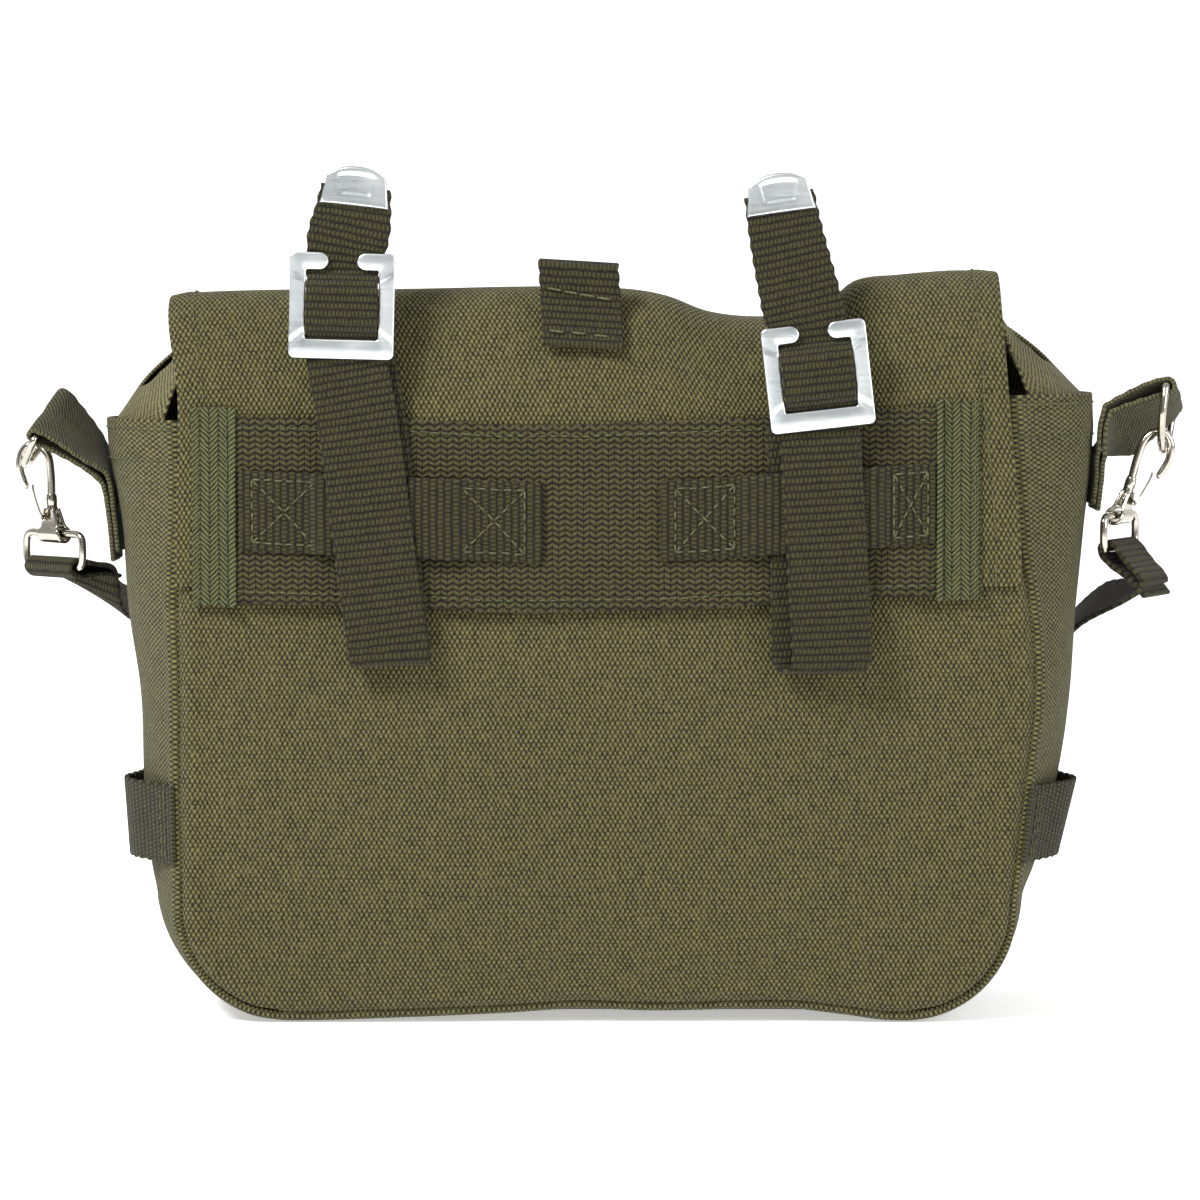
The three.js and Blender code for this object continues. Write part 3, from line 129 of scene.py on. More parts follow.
FLAP_LOW = {"back": 0.6 * HEIGHT, "front": 0.28 * HEIGHT}
FLAP_OVER = 8
FLAP_EDGES = {
    "up": [0.28, 0.62, 0.86, 1],
    "left": [-0.985, -0.994, -0.985, -1.015],
    "right": [0.985, 1.033, 0.999, 0.985],
}
BAND = {"across": [-0.858, 0, 0.84], "up": [0.703, 0.692, 0.713]}


# %% A smooth curve through a table's column
def column(table, by, name):
    """Cubic Hermite through the rows: inner slopes are those between neighbours, level at the ends."""
    x, y = np.array(table[by], float), np.array(table[name], float)
    slope = np.zeros_like(y)
    slope[1:-1] = (y[2:] - y[:-2]) / (x[2:] - x[:-2])

    def at(place):
        place = np.clip(place, x[0], x[-1])
        i = np.clip(np.searchsorted(x, place, side="right") - 1, 0, len(x) - 2)
        span = x[i + 1] - x[i]
        t = (place - x[i]) / span
        return (
            (2 * t**3 - 3 * t**2 + 1) * y[i]
            + (t**3 - 2 * t**2 + t) * span * slope[i]
            + (3 * t**2 - 2 * t**3) * y[i + 1]
            + (t**3 - t**2) * span * slope[i + 1]
        )

    return at


seam_share = {side: column(SIDES, "up", side) for side in SIGN}
bulge_share = {side: column(SIDES, "up", "bulge_" + side) for side in SIGN}
arch_share = column(ARCH, "across", "lift")
fullness = column(FULLNESS, "up", "full")
ridge_share = column(RIDGE, "across", "up")
flap_back = column(FLAP_WAY, "step", "back")
flap_rise = column(FLAP_WAY, "step", "rise")
flap_edge = {side: column(FLAP_EDGES, "up", side) for side in SIGN}
band_up = column(BAND, "across", "up")


def lerp(a, b, t):
    """a at t = 0, b at t = 1, straight between."""
    return a + (b - a) * t


def smoothstep(low, high, x):
    """0 below low, 1 above high, an S between."""
    t = np.clip((x - low) / (high - low), 0, 1)
    return t * t * (3 - 2 * t)


def bump(x, middle, wide):
    """A bell of height 1 at middle, which falls to a third at wide from it."""
    return np.exp(-(((x - middle) / wide) ** 2))


def points(x, y, z):
    """Three arrays as one array of points."""
    return np.stack(np.broadcast_arrays(x, y, z), -1).astype(float)


def unit(vectors):
    """Each vector divided by its own length."""
    return vectors / np.maximum(np.linalg.norm(vectors, axis=-1, keepdims=True), 1e-9)


# %% Where the seams and the filled panels are
def seam_x(side, z, inset=0.0):
    """A side seam: the table's curve above the corner, an arc of CORNER_RADIUS below it."""
    outer = HALF * seam_share[side](np.maximum(z, CORNER_TOP) / HEIGHT)
    reach = CORNER_RADIUS - inset
    down = np.clip(CORNER_TOP - z, 0, reach)
    low = outer - CORNER_RADIUS + np.sqrt(reach**2 - down**2)
    return SIGN[side] * np.where(z >= CORNER_TOP, outer - inset, low)


def side_bulge(side, z):
    """The gusset's bulge beyond its seams at height z: DEPTH times the table's share."""
    return DEPTH * bulge_share[side](z / HEIGHT)


def arch_lift(x, y, z):
    """The lower back edge is lifted by a table's share, fading as a squared cosine under the bag."""
    under = np.clip((y + DEPTH / 2) / ARCH_REACH, 0, 1)
    low = np.clip(1 - z / CORNER_TOP, 0, 1)
    return BASE_ARCH * arch_share(x / HALF) * np.cos(under * np.pi / 2) ** 2 * low


def across_share(x, z):
    """-1 at the left seam, 1 at the right one, straight between."""
    left, right = seam_x("left", z), seam_x("right", z)
    return np.clip((2 * x - left - right) / (right - left), -1, 1)


def back_swell(x, z):
    """The crown of the filled back less its dents, each a bell, and nothing at the side seams."""
    dents = sum(
        deep * np.exp(-(((x / HALF - a) / wide) ** 2) - ((z / HEIGHT - up) / tall) ** 2)
        for a, up, wide, tall, deep in zip(*DENTS.values())
    )
    swell = BACK_CROWN * (fullness(z / HEIGHT) - dents)
    return np.maximum(0, swell) * (1 - np.abs(across_share(x, z)) ** 3)


def front_swell(x, z):
    """The crown of the filled front: the fullness at that height times 1 - share across cubed."""
    return FRONT_CROWN * fullness(z / HEIGHT) * (1 - np.abs(across_share(x, z)) ** 3)


def on_back(x, z, out):
    """A point of the back, out millimetres in front of the back panel's face."""
    return points(x, BACK_Y - back_swell(x, np.minimum(z, HEIGHT)) - out, z)


def seam_distance(x, z):
    """How far a point is inside the seams: to the side lines above the corners, to their arcs below."""
    top = np.full_like(x, CORNER_TOP)
    centre_left = seam_x("left", top) + CORNER_RADIUS
    centre_right = seam_x("right", top) - CORNER_RADIUS
    aside = np.maximum(np.maximum(centre_left - x, x - centre_right), 0)
    corner = CORNER_RADIUS - np.hypot(aside, np.maximum(CORNER_TOP - z, 0))
    straight = np.minimum(x - seam_x("left", z), seam_x("right", z) - x)
    return np.where(z < CORNER_TOP, corner, straight)


print("back crown", BACK_CROWN, "mm, seams at", seam_x("left", 100.0), seam_x("right", 100.0))


# %% [markdown]
# ## From grids to meshes
#
# Every piece is a grid of points. Cloth is a shell: the grid moved half a thickness to each side,
# joined round a rounded rim. Straps are the same shell along a path. Wires are a circle carried
# along a path. Solidify could give the thickness, but a rim made here can be rounded and keeps the
# weave's coordinates, which are millimetres of real cloth.


# %% Mesh helpers
def grid_quads(rows, columns, wrap_rows=False, wrap_columns=False, start=0):
    """Quads of a grid of vertices, which may join its last row or column to its first."""
    i, j = np.meshgrid(
        np.arange(rows if wrap_rows else rows - 1),
        np.arange(columns if wrap_columns else columns - 1),
        indexing="ij",
    )
    ahead, beside = (i + 1) % rows, (j + 1) % columns
    corners = [i * columns + j, i * columns + beside, ahead * columns + beside, ahead * columns + j]
    return np.stack(corners, -1).reshape(-1, 4) + start


def build(name, vertices, face_sets, uv=None, finish=None, body="bag"):
    """A mesh object from points in millimetres, sets of equal faces and a weave coordinate a vertex."""
    mesh = bpy.data.meshes.new(name)
    vertices = np.asarray(vertices, float).reshape(-1, 3)
    loops = np.concatenate([faces.ravel() for faces in face_sets])
    sizes = np.concatenate([np.full(len(faces), faces.shape[1]) for faces in face_sets])
    mesh.vertices.add(len(vertices))
    mesh.vertices.foreach_set("co", (vertices * MM).ravel())
    mesh.loops.add(len(loops))
    mesh.loops.foreach_set("vertex_index", loops)
    mesh.polygons.add(len(sizes))
    mesh.polygons.foreach_set("loop_start", np.concatenate([[0], np.cumsum(sizes)[:-1]]))
    mesh.polygons.foreach_set("loop_total", sizes)
    if uv is not None:
        layer = mesh.uv_layers.new(name="weave")
        layer.data.foreach_set("uv", (np.asarray(uv, float).reshape(-1, 2)[loops] * MM).ravel())
    mesh.update(calc_edges=True)
    mesh.validate()
    mesh.shade_smooth()
    piece = bpy.data.objects.new(name, mesh)
    bpy.context.collection.objects.link(piece)
    if finish is not None:
        mesh.materials.append(finish)
    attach(piece, body)
    return piece


def running(way):
    """The distance along a way to each of its points."""
    return np.concatenate([[0], np.cumsum(np.linalg.norm(np.diff(way, axis=0), axis=1))])


def along(grid, axis):
    """The distance along a grid's rows or columns, from its first, averaged over the other way."""
    steps = np.linalg.norm(np.diff(grid, axis=axis), axis=-1).mean(axis=1 - axis)
    return np.concatenate([[0], np.cumsum(steps)])


def grid_normals(grid):
    """Across its columns crossed with along its rows, from neighbouring points, made unit."""
    return unit(np.cross(np.gradient(grid, axis=1), np.gradient(grid, axis=0)))


def cut_size(grid):
    """The flat width, length and area of a sheet in metres: its longest row and column, and its cells."""
    wide = np.linalg.norm(np.diff(grid, axis=1), axis=-1).sum(1).max() * MM
    long = np.linalg.norm(np.diff(grid, axis=0), axis=-1).sum(0).max() * MM
    down, right = np.diff(grid, axis=0)[:, :-1], np.diff(grid, axis=1)[:-1]
    return [wide, long, np.linalg.norm(np.cross(down, right), axis=-1).sum() * MM**2]


def padded_ring(grid, reach):
    """The grid with one more ring of points, reach outside its border."""
    ring = np.pad(grid, ((1, 1), (1, 1), (0, 0)), mode="edge")
    ring[0] += np.pad(unit(grid[0] - grid[1]), ((1, 1), (0, 0)), mode="edge") * reach
    ring[-1] += np.pad(unit(grid[-1] - grid[-2]), ((1, 1), (0, 0)), mode="edge") * reach
    ring[:, 0] += np.pad(unit(grid[:, 0] - grid[:, 1]), ((1, 1), (0, 0)), mode="edge") * reach
    ring[:, -1] += np.pad(unit(grid[:, -1] - grid[:, -2]), ((1, 1), (0, 0)), mode="edge") * reach
    return ring


def shell(name, middle, thick, finish, uv=None, turn=1, body="bag"):
    """Cloth: both faces of a grid, thick apart, with a rim that bulges out between them.

    turn is 1 where columns crossed with rows points out of the cloth's right side, else -1.
    """
    rows, columns = middle.shape[0] + 2, middle.shape[1] + 2
    normals = np.pad(grid_normals(middle) * turn, ((1, 1), (1, 1), (0, 0)), mode="edge")
    ring = padded_ring(middle, thick * 0.3)
    half = np.full((rows, columns, 1), thick / 2)
    half[[0, -1]] *= 0.5
    half[:, [0, -1]] *= 0.5
    if uv is None:
        u, v = np.meshgrid(along(middle, 1), along(middle, 0))
        uv = np.stack([u, v], -1)
    uv = np.pad(uv, ((1, 1), (1, 1), (0, 0)), mode="edge")
    count = rows * columns
    front = grid_quads(rows, columns)
    back = grid_quads(rows, columns, start=count)[:, ::-1]
    index = np.arange(count).reshape(rows, columns)
    border = np.concatenate([index[0, :-1], index[:-1, -1], index[-1, :0:-1], index[:0:-1, 0]])
    ahead = np.roll(border, -1)
    rim = np.stack([border, border + count, ahead + count, ahead], -1)
    faces = np.concatenate([front, back, rim])
    if turn < 0:
        faces = faces[:, ::-1]
    sides = [(ring + normals * half).reshape(-1, 3), (ring - normals * half).reshape(-1, 3)]
    uvs = np.concatenate([uv.reshape(-1, 2)] * 2)
    piece = build(name, np.concatenate(sides), [faces], uvs, finish, body)
    piece["cut"] = cut_size(ring)
    return piece


def smooth_way(knots, per):
    """A centripetal Catmull-Rom curve through knots, with per steps in each stretch."""
    p = np.asarray(knots, float)
    p = np.vstack([2 * p[0] - p[1], p, 2 * p[-1] - p[-2]])
    p0, p1, p2, p3 = (q[:, None] for q in (p[:-3], p[1:-2], p[2:-1], p[3:]))
    stretches = ((p0, p1), (p1, p2), (p2, p3))
    gaps = [np.sqrt(np.linalg.norm(b - a, axis=-1, keepdims=True)) for a, b in stretches]
    d0, d1, d2 = (np.maximum(g, 1e-4) for g in gaps)
    leave = ((p1 - p0) / d0 - (p2 - p0) / (d0 + d1) + (p2 - p1) / d1) * d1
    reach = ((p2 - p1) / d1 - (p3 - p1) / (d1 + d2) + (p3 - p2) / d2) * d1
    t = (np.arange(per) / per)[None, :, None]
    way = (
        (2 * t**3 - 3 * t**2 + 1) * p1
        + (t**3 - 2 * t**2 + t) * leave
        + (3 * t**2 - 2 * t**3) * p2
        + (t**3 - t**2) * reach
    )
    return np.vstack([way.reshape(-1, 3), p[-2]])


ROW_PITCH = 2.4


def webbing(
    name,
    stations,
    finish,
    width=STRAP_WIDTH,
    thick=WEBBING,
    step=0.8,
    edge=0.25,
    crease=0.0,
    body="bag",
):
    """A strap: each station is a middle point, the direction of the width and a share of the width.

    A smooth curve joins them, cut into steps of about 0.8 mm. edge is how far each row of the weave
    pushes the woven edges out, and crease lifts a narrow fold along the middle.
    """
    across_count = 14
    middles = np.array([s[0] for s in stations])
    widths = np.array([s[1] for s in stations])
    shares = np.array([s[2] for s in stations])
    way = smooth_way(middles, 30)
    run = running(way)
    order = np.linspace(0, len(stations) - 1, len(way))
    even = np.linspace(0, run[-1], int(run[-1] / step) + 2)
    at = np.interp(even, run, order)
    way = np.stack([np.interp(even, run, way[:, k]) for k in range(3)], -1)
    whole = np.arange(len(stations))
    across = unit(np.stack([np.interp(at, whole, widths[:, k]) for k in range(3)], -1))
    reach = width * np.interp(at, whole, shares)
    share = np.linspace(-0.5, 0.5, across_count + 1)
    outer = np.sign(share) * (np.abs(share) > 0.49)
    scallop = edge * np.cos(even[:, None] * (np.pi / ROW_PITCH) + (share[None] > 0) * np.pi) * outer
    grid = way[:, None] + across[:, None] * (share[None, :] * reach[:, None] + scallop)[..., None]
    grid = grid + grid_normals(grid) * (crease * bump(share, 0, 0.12))[None, :, None]
    u, v = np.meshgrid((share + 0.5) * width, running(way))
    piece = shell(name, grid, thick, finish, uv=np.stack([u, v], -1), body=body)
    return piece, v[-1, 0]


def rings_mesh(name, rings, finish, closed=False, body="bag"):
    """A skin over a row of equal rings of points, closed by its last ring or capped at both ends."""
    rings = np.asarray(rings, float)
    rows, columns = rings.shape[:2]
    faces = [grid_quads(rows, columns, wrap_rows=closed, wrap_columns=True)]
    vertices = rings.reshape(-1, 3)
    if not closed:
        ends = np.array([rings[0].mean(0), rings[-1].mean(0)])
        vertices = np.concatenate([vertices, ends])
        loop = np.arange(columns)
        ahead = (loop + 1) % columns
        last = (rows - 1) * columns
        first = np.stack([ahead, loop, np.full(columns, rows * columns)], -1)
        final = np.stack([loop + last, ahead + last, np.full(columns, rows * columns + 1)], -1)
        faces.append(np.concatenate([first, final]))
    return build(name, vertices, faces, None, finish, body)


def wire_rings(way, radius, plane, sides=16, closed=False):
    """Circles square to a flat way: one direction is the plane's normal, the other lies in the plane."""
    way = np.asarray(way, float)
    ahead = np.roll(way, -1, 0) - np.roll(way, 1, 0) if closed else np.gradient(way, axis=0)
    flat = unit(np.broadcast_to(plane, way.shape))
    inward = unit(np.cross(flat, ahead))
    angle = np.linspace(0, 2 * np.pi, sides, endpoint=False)[None, :, None]
    radius = np.broadcast_to(radius, len(way))[:, None, None]
    return way[:, None] + radius * (inward[:, None] * np.cos(angle) + flat[:, None] * np.sin(angle))


def round_ends(way, radius):
    """Radii that close a wire's two ends as half spheres over the last points."""
    run = running(way)
    left = np.minimum(run, run[-1] - run)
    inside = np.clip(left / radius, 0, 1)
    return radius * np.sqrt(np.maximum(1 - (1 - inside) ** 2, 0.01))


def join(name, parts):
    """One object from several, with all their faces."""
    bpy.ops.object.select_all(action="DESELECT")
    for part in parts:
        part.select_set(True)
    bpy.context.view_layer.objects.active = parts[0]
    bpy.ops.object.join()
    parts[0].name = name
    parts[0].data.name = name
    return parts[0]


# %% [markdown]
# ## Shader maths as plain sums
#
# A weave is two waves multiplied. Written as nodes that is a long chain, so a small class wraps a
# socket and lets Python's own signs add the Math nodes. The finish itself comes from one helper
# that makes any node from its type, settings and inputs.


# %% A socket that takes part in sums
class Value:
    """A socket of a node tree that can be added, multiplied and the like."""

    def __init__(self, tree, socket):
        self.tree, self.socket = tree, socket

    def math(self, operation, *others):
        """A Math node on this socket and the others, which are values or sockets."""
        node = self.tree.nodes.new("ShaderNodeMath")
        node.operation = operation
        for slot, value in zip(node.inputs, (self, *others)):
            if isinstance(value, Value):
                self.tree.links.new(value.socket, slot)
            else:
                slot.default_value = value
        return Value(self.tree, node.outputs[0])

    def reflected(self, operation, first):
        """A Math node with a number first and this socket second."""
        node = self.tree.nodes.new("ShaderNodeMath")
        node.operation = operation
        node.inputs[0].default_value = first
        self.tree.links.new(self.socket, node.inputs[1])
        return Value(self.tree, node.outputs[0])

    def __add__(self, other):
        return self.math("ADD", other)

    __radd__ = __add__

    def __sub__(self, other):
        return self.math("SUBTRACT", other)

    def __rsub__(self, first):
        return self.reflected("SUBTRACT", first)

    def __mul__(self, other):
        return self.math("MULTIPLY", other)

    __rmul__ = __mul__

    def __truediv__(self, other):
        return self.math("DIVIDE", other)

    def __pow__(self, other):
        return self.math("POWER", other)

    def sin(self):
        return self.math("SINE")

    def cos(self):
        return self.math("COSINE")

    def abs(self):
        return self.math("ABSOLUTE")

    def fold(self, size):
        """Rises from 0 to size and falls back to 0, over and over."""
        return self.math("PINGPONG", size)

    def between(self, low, high):
        """0 at low, 1 at high, straight between and held beyond. low may be the larger."""
        return ((self - low) * (1 / (high - low))).math("MAXIMUM", 0.0).math("MINIMUM", 1.0)


class Nodes:
    """A node tree and the one method that adds any node to it."""

    def __init__(self, tree):
        self.tree = tree

    def node(self, kind, settings=None, inputs=None, output=0):
        """Any node: its settings are set first, then its inputs, by name or number, to values or links."""
        node = self.tree.nodes.new("ShaderNode" + kind)
        for key, value in (settings or {}).items():
            setattr(node, key, value)
        for key, value in (inputs or {}).items():
            if isinstance(value, Value):
                self.tree.links.new(value.socket, node.inputs[key])
            else:
                node.inputs[key].default_value = value
        return Value(self.tree, node.outputs[output])


class Finish(Nodes):
    """A material and what its patterns have in common."""

    def __init__(self, name):
        self.material = bpy.data.materials.new(name)
        self.material.use_nodes = True
        super().__init__(self.material.node_tree)
        self.shader = self.tree.nodes["Principled BSDF"]

    def weave_place(self):
        """The cloth's own two coordinates, in metres across and along it."""
        place = self.node("UVMap", {"uv_map": "weave"})
        return [self.node("SeparateXYZ", inputs={"Vector": place}, output=k) for k in (0, 1)]

    def noise(self, scale, detail=2.0, stretch=(1, 1, 1), uv=False):
        """Noise from 0 to 1 on the piece's own place, or on its weave, with stretch a scale each way."""
        place = self.node("UVMap", {"uv_map": "weave"}) if uv else self.node("TexCoord", output=3)
        place = self.node("Mapping", inputs={"Vector": place, "Scale": stretch})
        return self.node("TexNoise", inputs={"Vector": place, "Scale": scale, "Detail": detail})

    def mix(self, low, high, share, blend="MIX"):
        """Two colours mixed by a share, or multiplied."""
        low, high = (c if isinstance(c, Value) else (*c[:3], 1) for c in (low, high))
        settings = {"data_type": "RGBA", "blend_type": blend}
        return self.node("Mix", settings, {0: share, 6: low, 7: high}, output=2)

    def set(self, **inputs):
        """The shader's own inputs, with _ for a space, as values or links."""
        for key, value in inputs.items():
            socket = self.shader.inputs[key.replace("_", " ")]
            if isinstance(value, Value):
                self.tree.links.new(value.socket, socket)
            else:
                socket.default_value = value

    def relief(self, height, deep, strength=1.0):
        """A Bump node from height, where 1 stands deep metres out, into the shader's normal."""
        inputs = {"Strength": strength, "Distance": deep, "Height": height}
        self.set(Normal=self.node("Bump", inputs=inputs))


def rgb(red, green, blue):
    """A colour given as seen on a screen, 0 to 255, as the linear light that a shader takes."""
    c = np.array([red, green, blue]) / 255
    return tuple(np.where(c <= 0.04045, c / 12.92, ((c + 0.055) / 1.055) ** 2.4).tolist())


# %% [markdown]
# ## The cloths
#
# Canvas is a plain weave of thick yarn: light knots in a brick pattern, 1.65 mm apart along a row
# and 1.4 mm from row to row, with pits between that are painted dark as shade. Strap webbing has
# fat rows 2.4 mm apart. The broad band is woven in narrow zigzag columns, the green tape in wider
# ones, and the carry loops in a fine twill. In each, the threads waver a little and some yarns are
# lighter than others, and the colour is darker where the weave sinks, which is painted shade.


# %% Woven finishes
def cloth(name, light, dark, pattern, deep, sheen=0.06, blotch=0.1):
    """A cloth whose height pattern(finish, u, v) colours it from painted shade in the pits to light knots."""
    finish = Finish(name)
    u, v = finish.weave_place()
    wander = finish.noise(240.0, 1.0, uv=True) - 0.5
    height = pattern(finish, u + wander * 0.0008, v + wander * 0.0006)
    yarn = finish.noise(1.0, 2.0, (130, 900, 1), uv=True) + finish.noise(1.0, 2.0, (900, 130, 1), uv=True)
    fuzz = finish.noise(2600.0, 2.0)
    patch = finish.noise(14.0, 3.0)
    # The weave's height sets the colour, so its pits and grooves are painted shade; the yarn and fuzz noise
    # is the yarn's own tone.
    share = (height * 1.4 + (yarn - 1.0) * 0.5 + (fuzz - 0.5) * 1.1 - 0.25).between(0.0, 1.0)
    colour = finish.mix(dark, light, share)
    level = (patch - 0.5) * (2 * blotch) + 1.0
    shade = finish.node("CombineColor", inputs={0: level, 1: level, 2: level})
    finish.set(Base_Color=finish.mix(colour, shade, 1.0, "MULTIPLY"), Roughness=0.92)
    finish.shader.inputs["Sheen Weight"].default_value = sheen
    finish.shader.inputs["Sheen Roughness"].default_value = 0.5
    finish.shader.inputs["Specular IOR Level"].default_value = 0.25
    finish.relief(height + (fuzz - 0.5) * 0.4, deep)
    return finish.material


def wave(place, pitch, shift=0.0):
    """A cosine of that pitch in metres."""
    return (place * (2 * np.pi / pitch) + shift).cos()


def bricks(across, along_rows):
    """Knots across apart in a row and along_rows from row to row, each row shifted by half."""

    def pattern(finish, u, v):
        knots = (wave(u, across) * wave(v, 2 * along_rows) * 0.5 + 0.5) ** 0.8
        return knots * (wave(v, along_rows) * 0.17 + 0.83)

    return pattern


def rows(across, pitch):
    """Fat rows of knots with a groove between rows, where the colour is painted shade."""

    def pattern(finish, u, v):
        knots = wave(u, across) * wave(v, 2 * pitch) * 0.5 + 0.5
        groove = (v * (np.pi / pitch)).cos().abs()
        return groove**0.6 * (knots * 0.65 + 0.35)

    return pattern


def zigzag(column_width, pitch, slope):
    """Slanting threads that turn back at each column's edge, with a groove along each edge."""

    def pattern(finish, u, v):
        fold = u.fold(column_width)
        threads = wave(v + fold * slope, pitch) * 0.5 + 0.5
        groove = (u * (np.pi / column_width)).sin().abs().between(-0.3, 0.5)
        return groove * (threads * 0.8 + 0.2)

    return pattern


def twill(pitch, slope):
    """Threads that slant all one way."""

    def pattern(finish, u, v):
        return wave(v + u * slope, pitch) * 0.3 + wave(u, pitch * 0.9) * 0.2 + 0.5

    return pattern


# Each cloth's second colour is painted shade for the pits and grooves of its weave.
CANVAS_LIGHT, CANVAS_PIT_SHADE = rgb(110, 105, 62), rgb(17, 16, 6)
canvas = cloth("olive_canvas", CANVAS_LIGHT, CANVAS_PIT_SHADE, bricks(0.00165, 0.0014), 0.0007)
ear_cloth = cloth("ear_cotton", rgb(128, 122, 82), rgb(26, 24, 12), bricks(0.0013, 0.0011), 0.0003)
strap_webbing = cloth("dark_webbing", rgb(62, 58, 30), rgb(5, 4, 2), rows(0.0014, 0.0024), 0.0008)
band_webbing = cloth("zigzag_webbing", rgb(71, 66, 36), rgb(6, 5, 2), zigzag(0.002, 0.0019, 0.55), 0.0006)
tape_cloth = cloth("herringbone_tape", rgb(90, 92, 55), rgb(14, 18, 7), zigzag(0.003, 0.0016, 1.0), 0.0005)
loop_webbing = cloth("grey_twill_webbing", rgb(86, 83, 57), rgb(16, 15, 9), twill(0.0013, 0.7), 0.0004)
print("woven finishes:", ", ".join(m.name for m in bpy.data.materials if m.use_nodes))

# %% [markdown]
# The thread is a dull green cord, and a fine noise stands for its fibres. The buckles
# and strap ends are rolled aluminium with a satin face: bright, with faint lines along the rolling
# and small dull handling marks. Hooks and rings are nickel plate, which is glossy and a little warm.


# %% Thread and metal finishes
def thread_finish(name, light, dark):
    """Two tones mixed by a fine noise, which is the thread's relief too."""
    finish = Finish(name)
    fibres = finish.noise(1800.0, 2.0, (1, 1, 1))
    finish.set(Base_Color=finish.mix(dark, light, fibres.between(0.3, 0.7)), Roughness=0.8)
    finish.relief(fibres, 0.0001)
    return finish.material


def metal_finish(name, colour, worn, rough, spread, lines, scale=(1, 1, 1)):
    """Metal whose roughness wavers by spread, with fine lines of relief stretched along scale."""
    finish = Finish(name)
    marks = finish.noise(60.0, 4.0)
    brushed = finish.noise(1.0, 3.0, tuple(900.0 * s for s in scale))
    share = (marks * 0.6 + brushed * 0.4).between(0.35, 0.7)
    finish.set(Base_Color=finish.mix(worn, colour, share), Metallic=1.0)
    finish.set(Roughness=(marks - 0.5) * spread + (brushed - 0.5) * (spread * 0.5) + rough)
    finish.relief(brushed, lines)
    return finish.material


green_thread = thread_finish("green_thread", rgb(86, 96, 60), rgb(34, 42, 22))
olive_thread = thread_finish("olive_thread", rgb(96, 96, 62), rgb(38, 38, 20))
ALUMINIUM, NICKEL = (0.84, 0.88, 0.88), (0.44, 0.41, 0.35)
aluminium = metal_finish("satin_aluminium", ALUMINIUM, (0.7, 0.74, 0.76), 0.3, 0.18, 0.00003, (0.05, 1, 1))
nickel = metal_finish("nickel_plate", NICKEL, (0.6, 0.57, 0.5), 0.13, 0.12, 0.00001)


# %% [markdown]
# ## Stitches
#
# Each stitch is a short thread that rises out of the cloth, lies on it and goes back in. One is
# made as a bent tube of a few rings, and the rest are copies turned and placed in whole arrays.


# %% Rows of stitches
STITCH_RINGS = 7
STITCH_SIDES = 6


def stitch_row(way, normals, length=2.6, gap=0.9, radius=0.26, sink=0.35, seed=1):
    """Stitches along a way on a face: an arc above the face over length, then a gap, with small slips.

    Returns their vertices and quads, the tube's radius shrinking at both ends.
    """
    way = np.asarray(way, float)
    run = running(way)
    pitch = length + gap
    count = max(1, int((run[-1] - length) / pitch) + 1)
    spare = (run[-1] - length - (count - 1) * pitch) / max(count, 1)
    slips = np.random.default_rng(seed).normal(0, 0.06, (count, 3))
    start = np.arange(count) * (pitch + spare) + slips[:, 0] * 0.5
    t = np.linspace(0, 1, STITCH_RINGS)
    place = np.clip(start[:, None] + t[None] * length, 0, run[-1])
    read = lambda data, at: np.stack([np.interp(at, run, data[:, k]) for k in range(3)], -1)
    up = unit(read(normals, place))
    lift = radius * 0.9 + (sink + radius) * (np.sqrt(np.maximum(1 - (2 * t - 1) ** 4, 0)) - 1)
    middle = read(way, place) + up * (lift[None, :, None] + slips[:, 2, None, None] * 0.3)
    ahead = unit(np.gradient(middle, axis=1))
    aside = unit(np.cross(ahead, up))
    middle = middle + aside * slips[:, 1, None, None]
    above = np.cross(aside, ahead)
    angle = np.linspace(0, 2 * np.pi, STITCH_SIDES, endpoint=False)
    size = radius * np.interp(t, [0, 0.15, 0.85, 1], [0.55, 1, 1, 0.55])[None, :, None, None]
    circle = aside[:, :, None] * np.cos(angle)[:, None] + above[:, :, None] * np.sin(angle)[:, None]
    vertices = (middle[:, :, None] + size * circle).reshape(-1, 3)
    one = grid_quads(STITCH_RINGS, STITCH_SIDES, wrap_columns=True)[:, ::-1]
    step = STITCH_RINGS * STITCH_SIDES
    quads = (one[None] + (np.arange(count) * step)[:, None, None]).reshape(-1, 4)
    caps = np.array([np.arange(STITCH_SIDES), np.arange(STITCH_SIDES)[::-1] + step - STITCH_SIDES])
    ends = (caps[None] + (np.arange(count) * step)[:, None, None]).reshape(-1, STITCH_SIDES)
    return vertices, quads, ends


def stitches(name, lines, finish, **style):
    """One object from several rows. Each line is its way and the normals of the face under it."""
    vertices, quads, ends, start = [], [], [], 0
    for number, (way, normals) in enumerate(lines):
        v, q, e = stitch_row(way, normals, seed=number + 3, **style)
        vertices.append(v)
        quads.append(q + start)
        ends.append(e + start)
        start += len(v)
    faces = [np.concatenate(quads), np.concatenate(ends)]
    return build(name, np.concatenate(vertices), faces, None, finish)


def back_line(xs, zs, out, count=60):
    """A line on the back through given places, out in front of the panel, with its normals."""
    share = np.linspace(0, 1, count)
    spots = np.linspace(0, 1, len(xs))
    x, z = np.interp(share, spots, xs), np.interp(share, spots, zs)
    step = 0.5
    way = on_back(x, z, out)
    sideways = on_back(x + step, z, out) - on_back(x - step, z, out)
    upwards = on_back(x, z + step, out) - on_back(x, z - step, out)
    return way, unit(np.cross(sideways, upwards))


# %% [markdown]
# ## Back and front panels
#
# Each panel is cut flat, sewn to the gusset wrong side out and turned. The seam pulls its edge in,
# so a soft roll runs beside the seam and small puckers cross it. The filled middle crowns. It could
# be simulated, but this cloth is stiff and its few dents are known, so a formula places them.


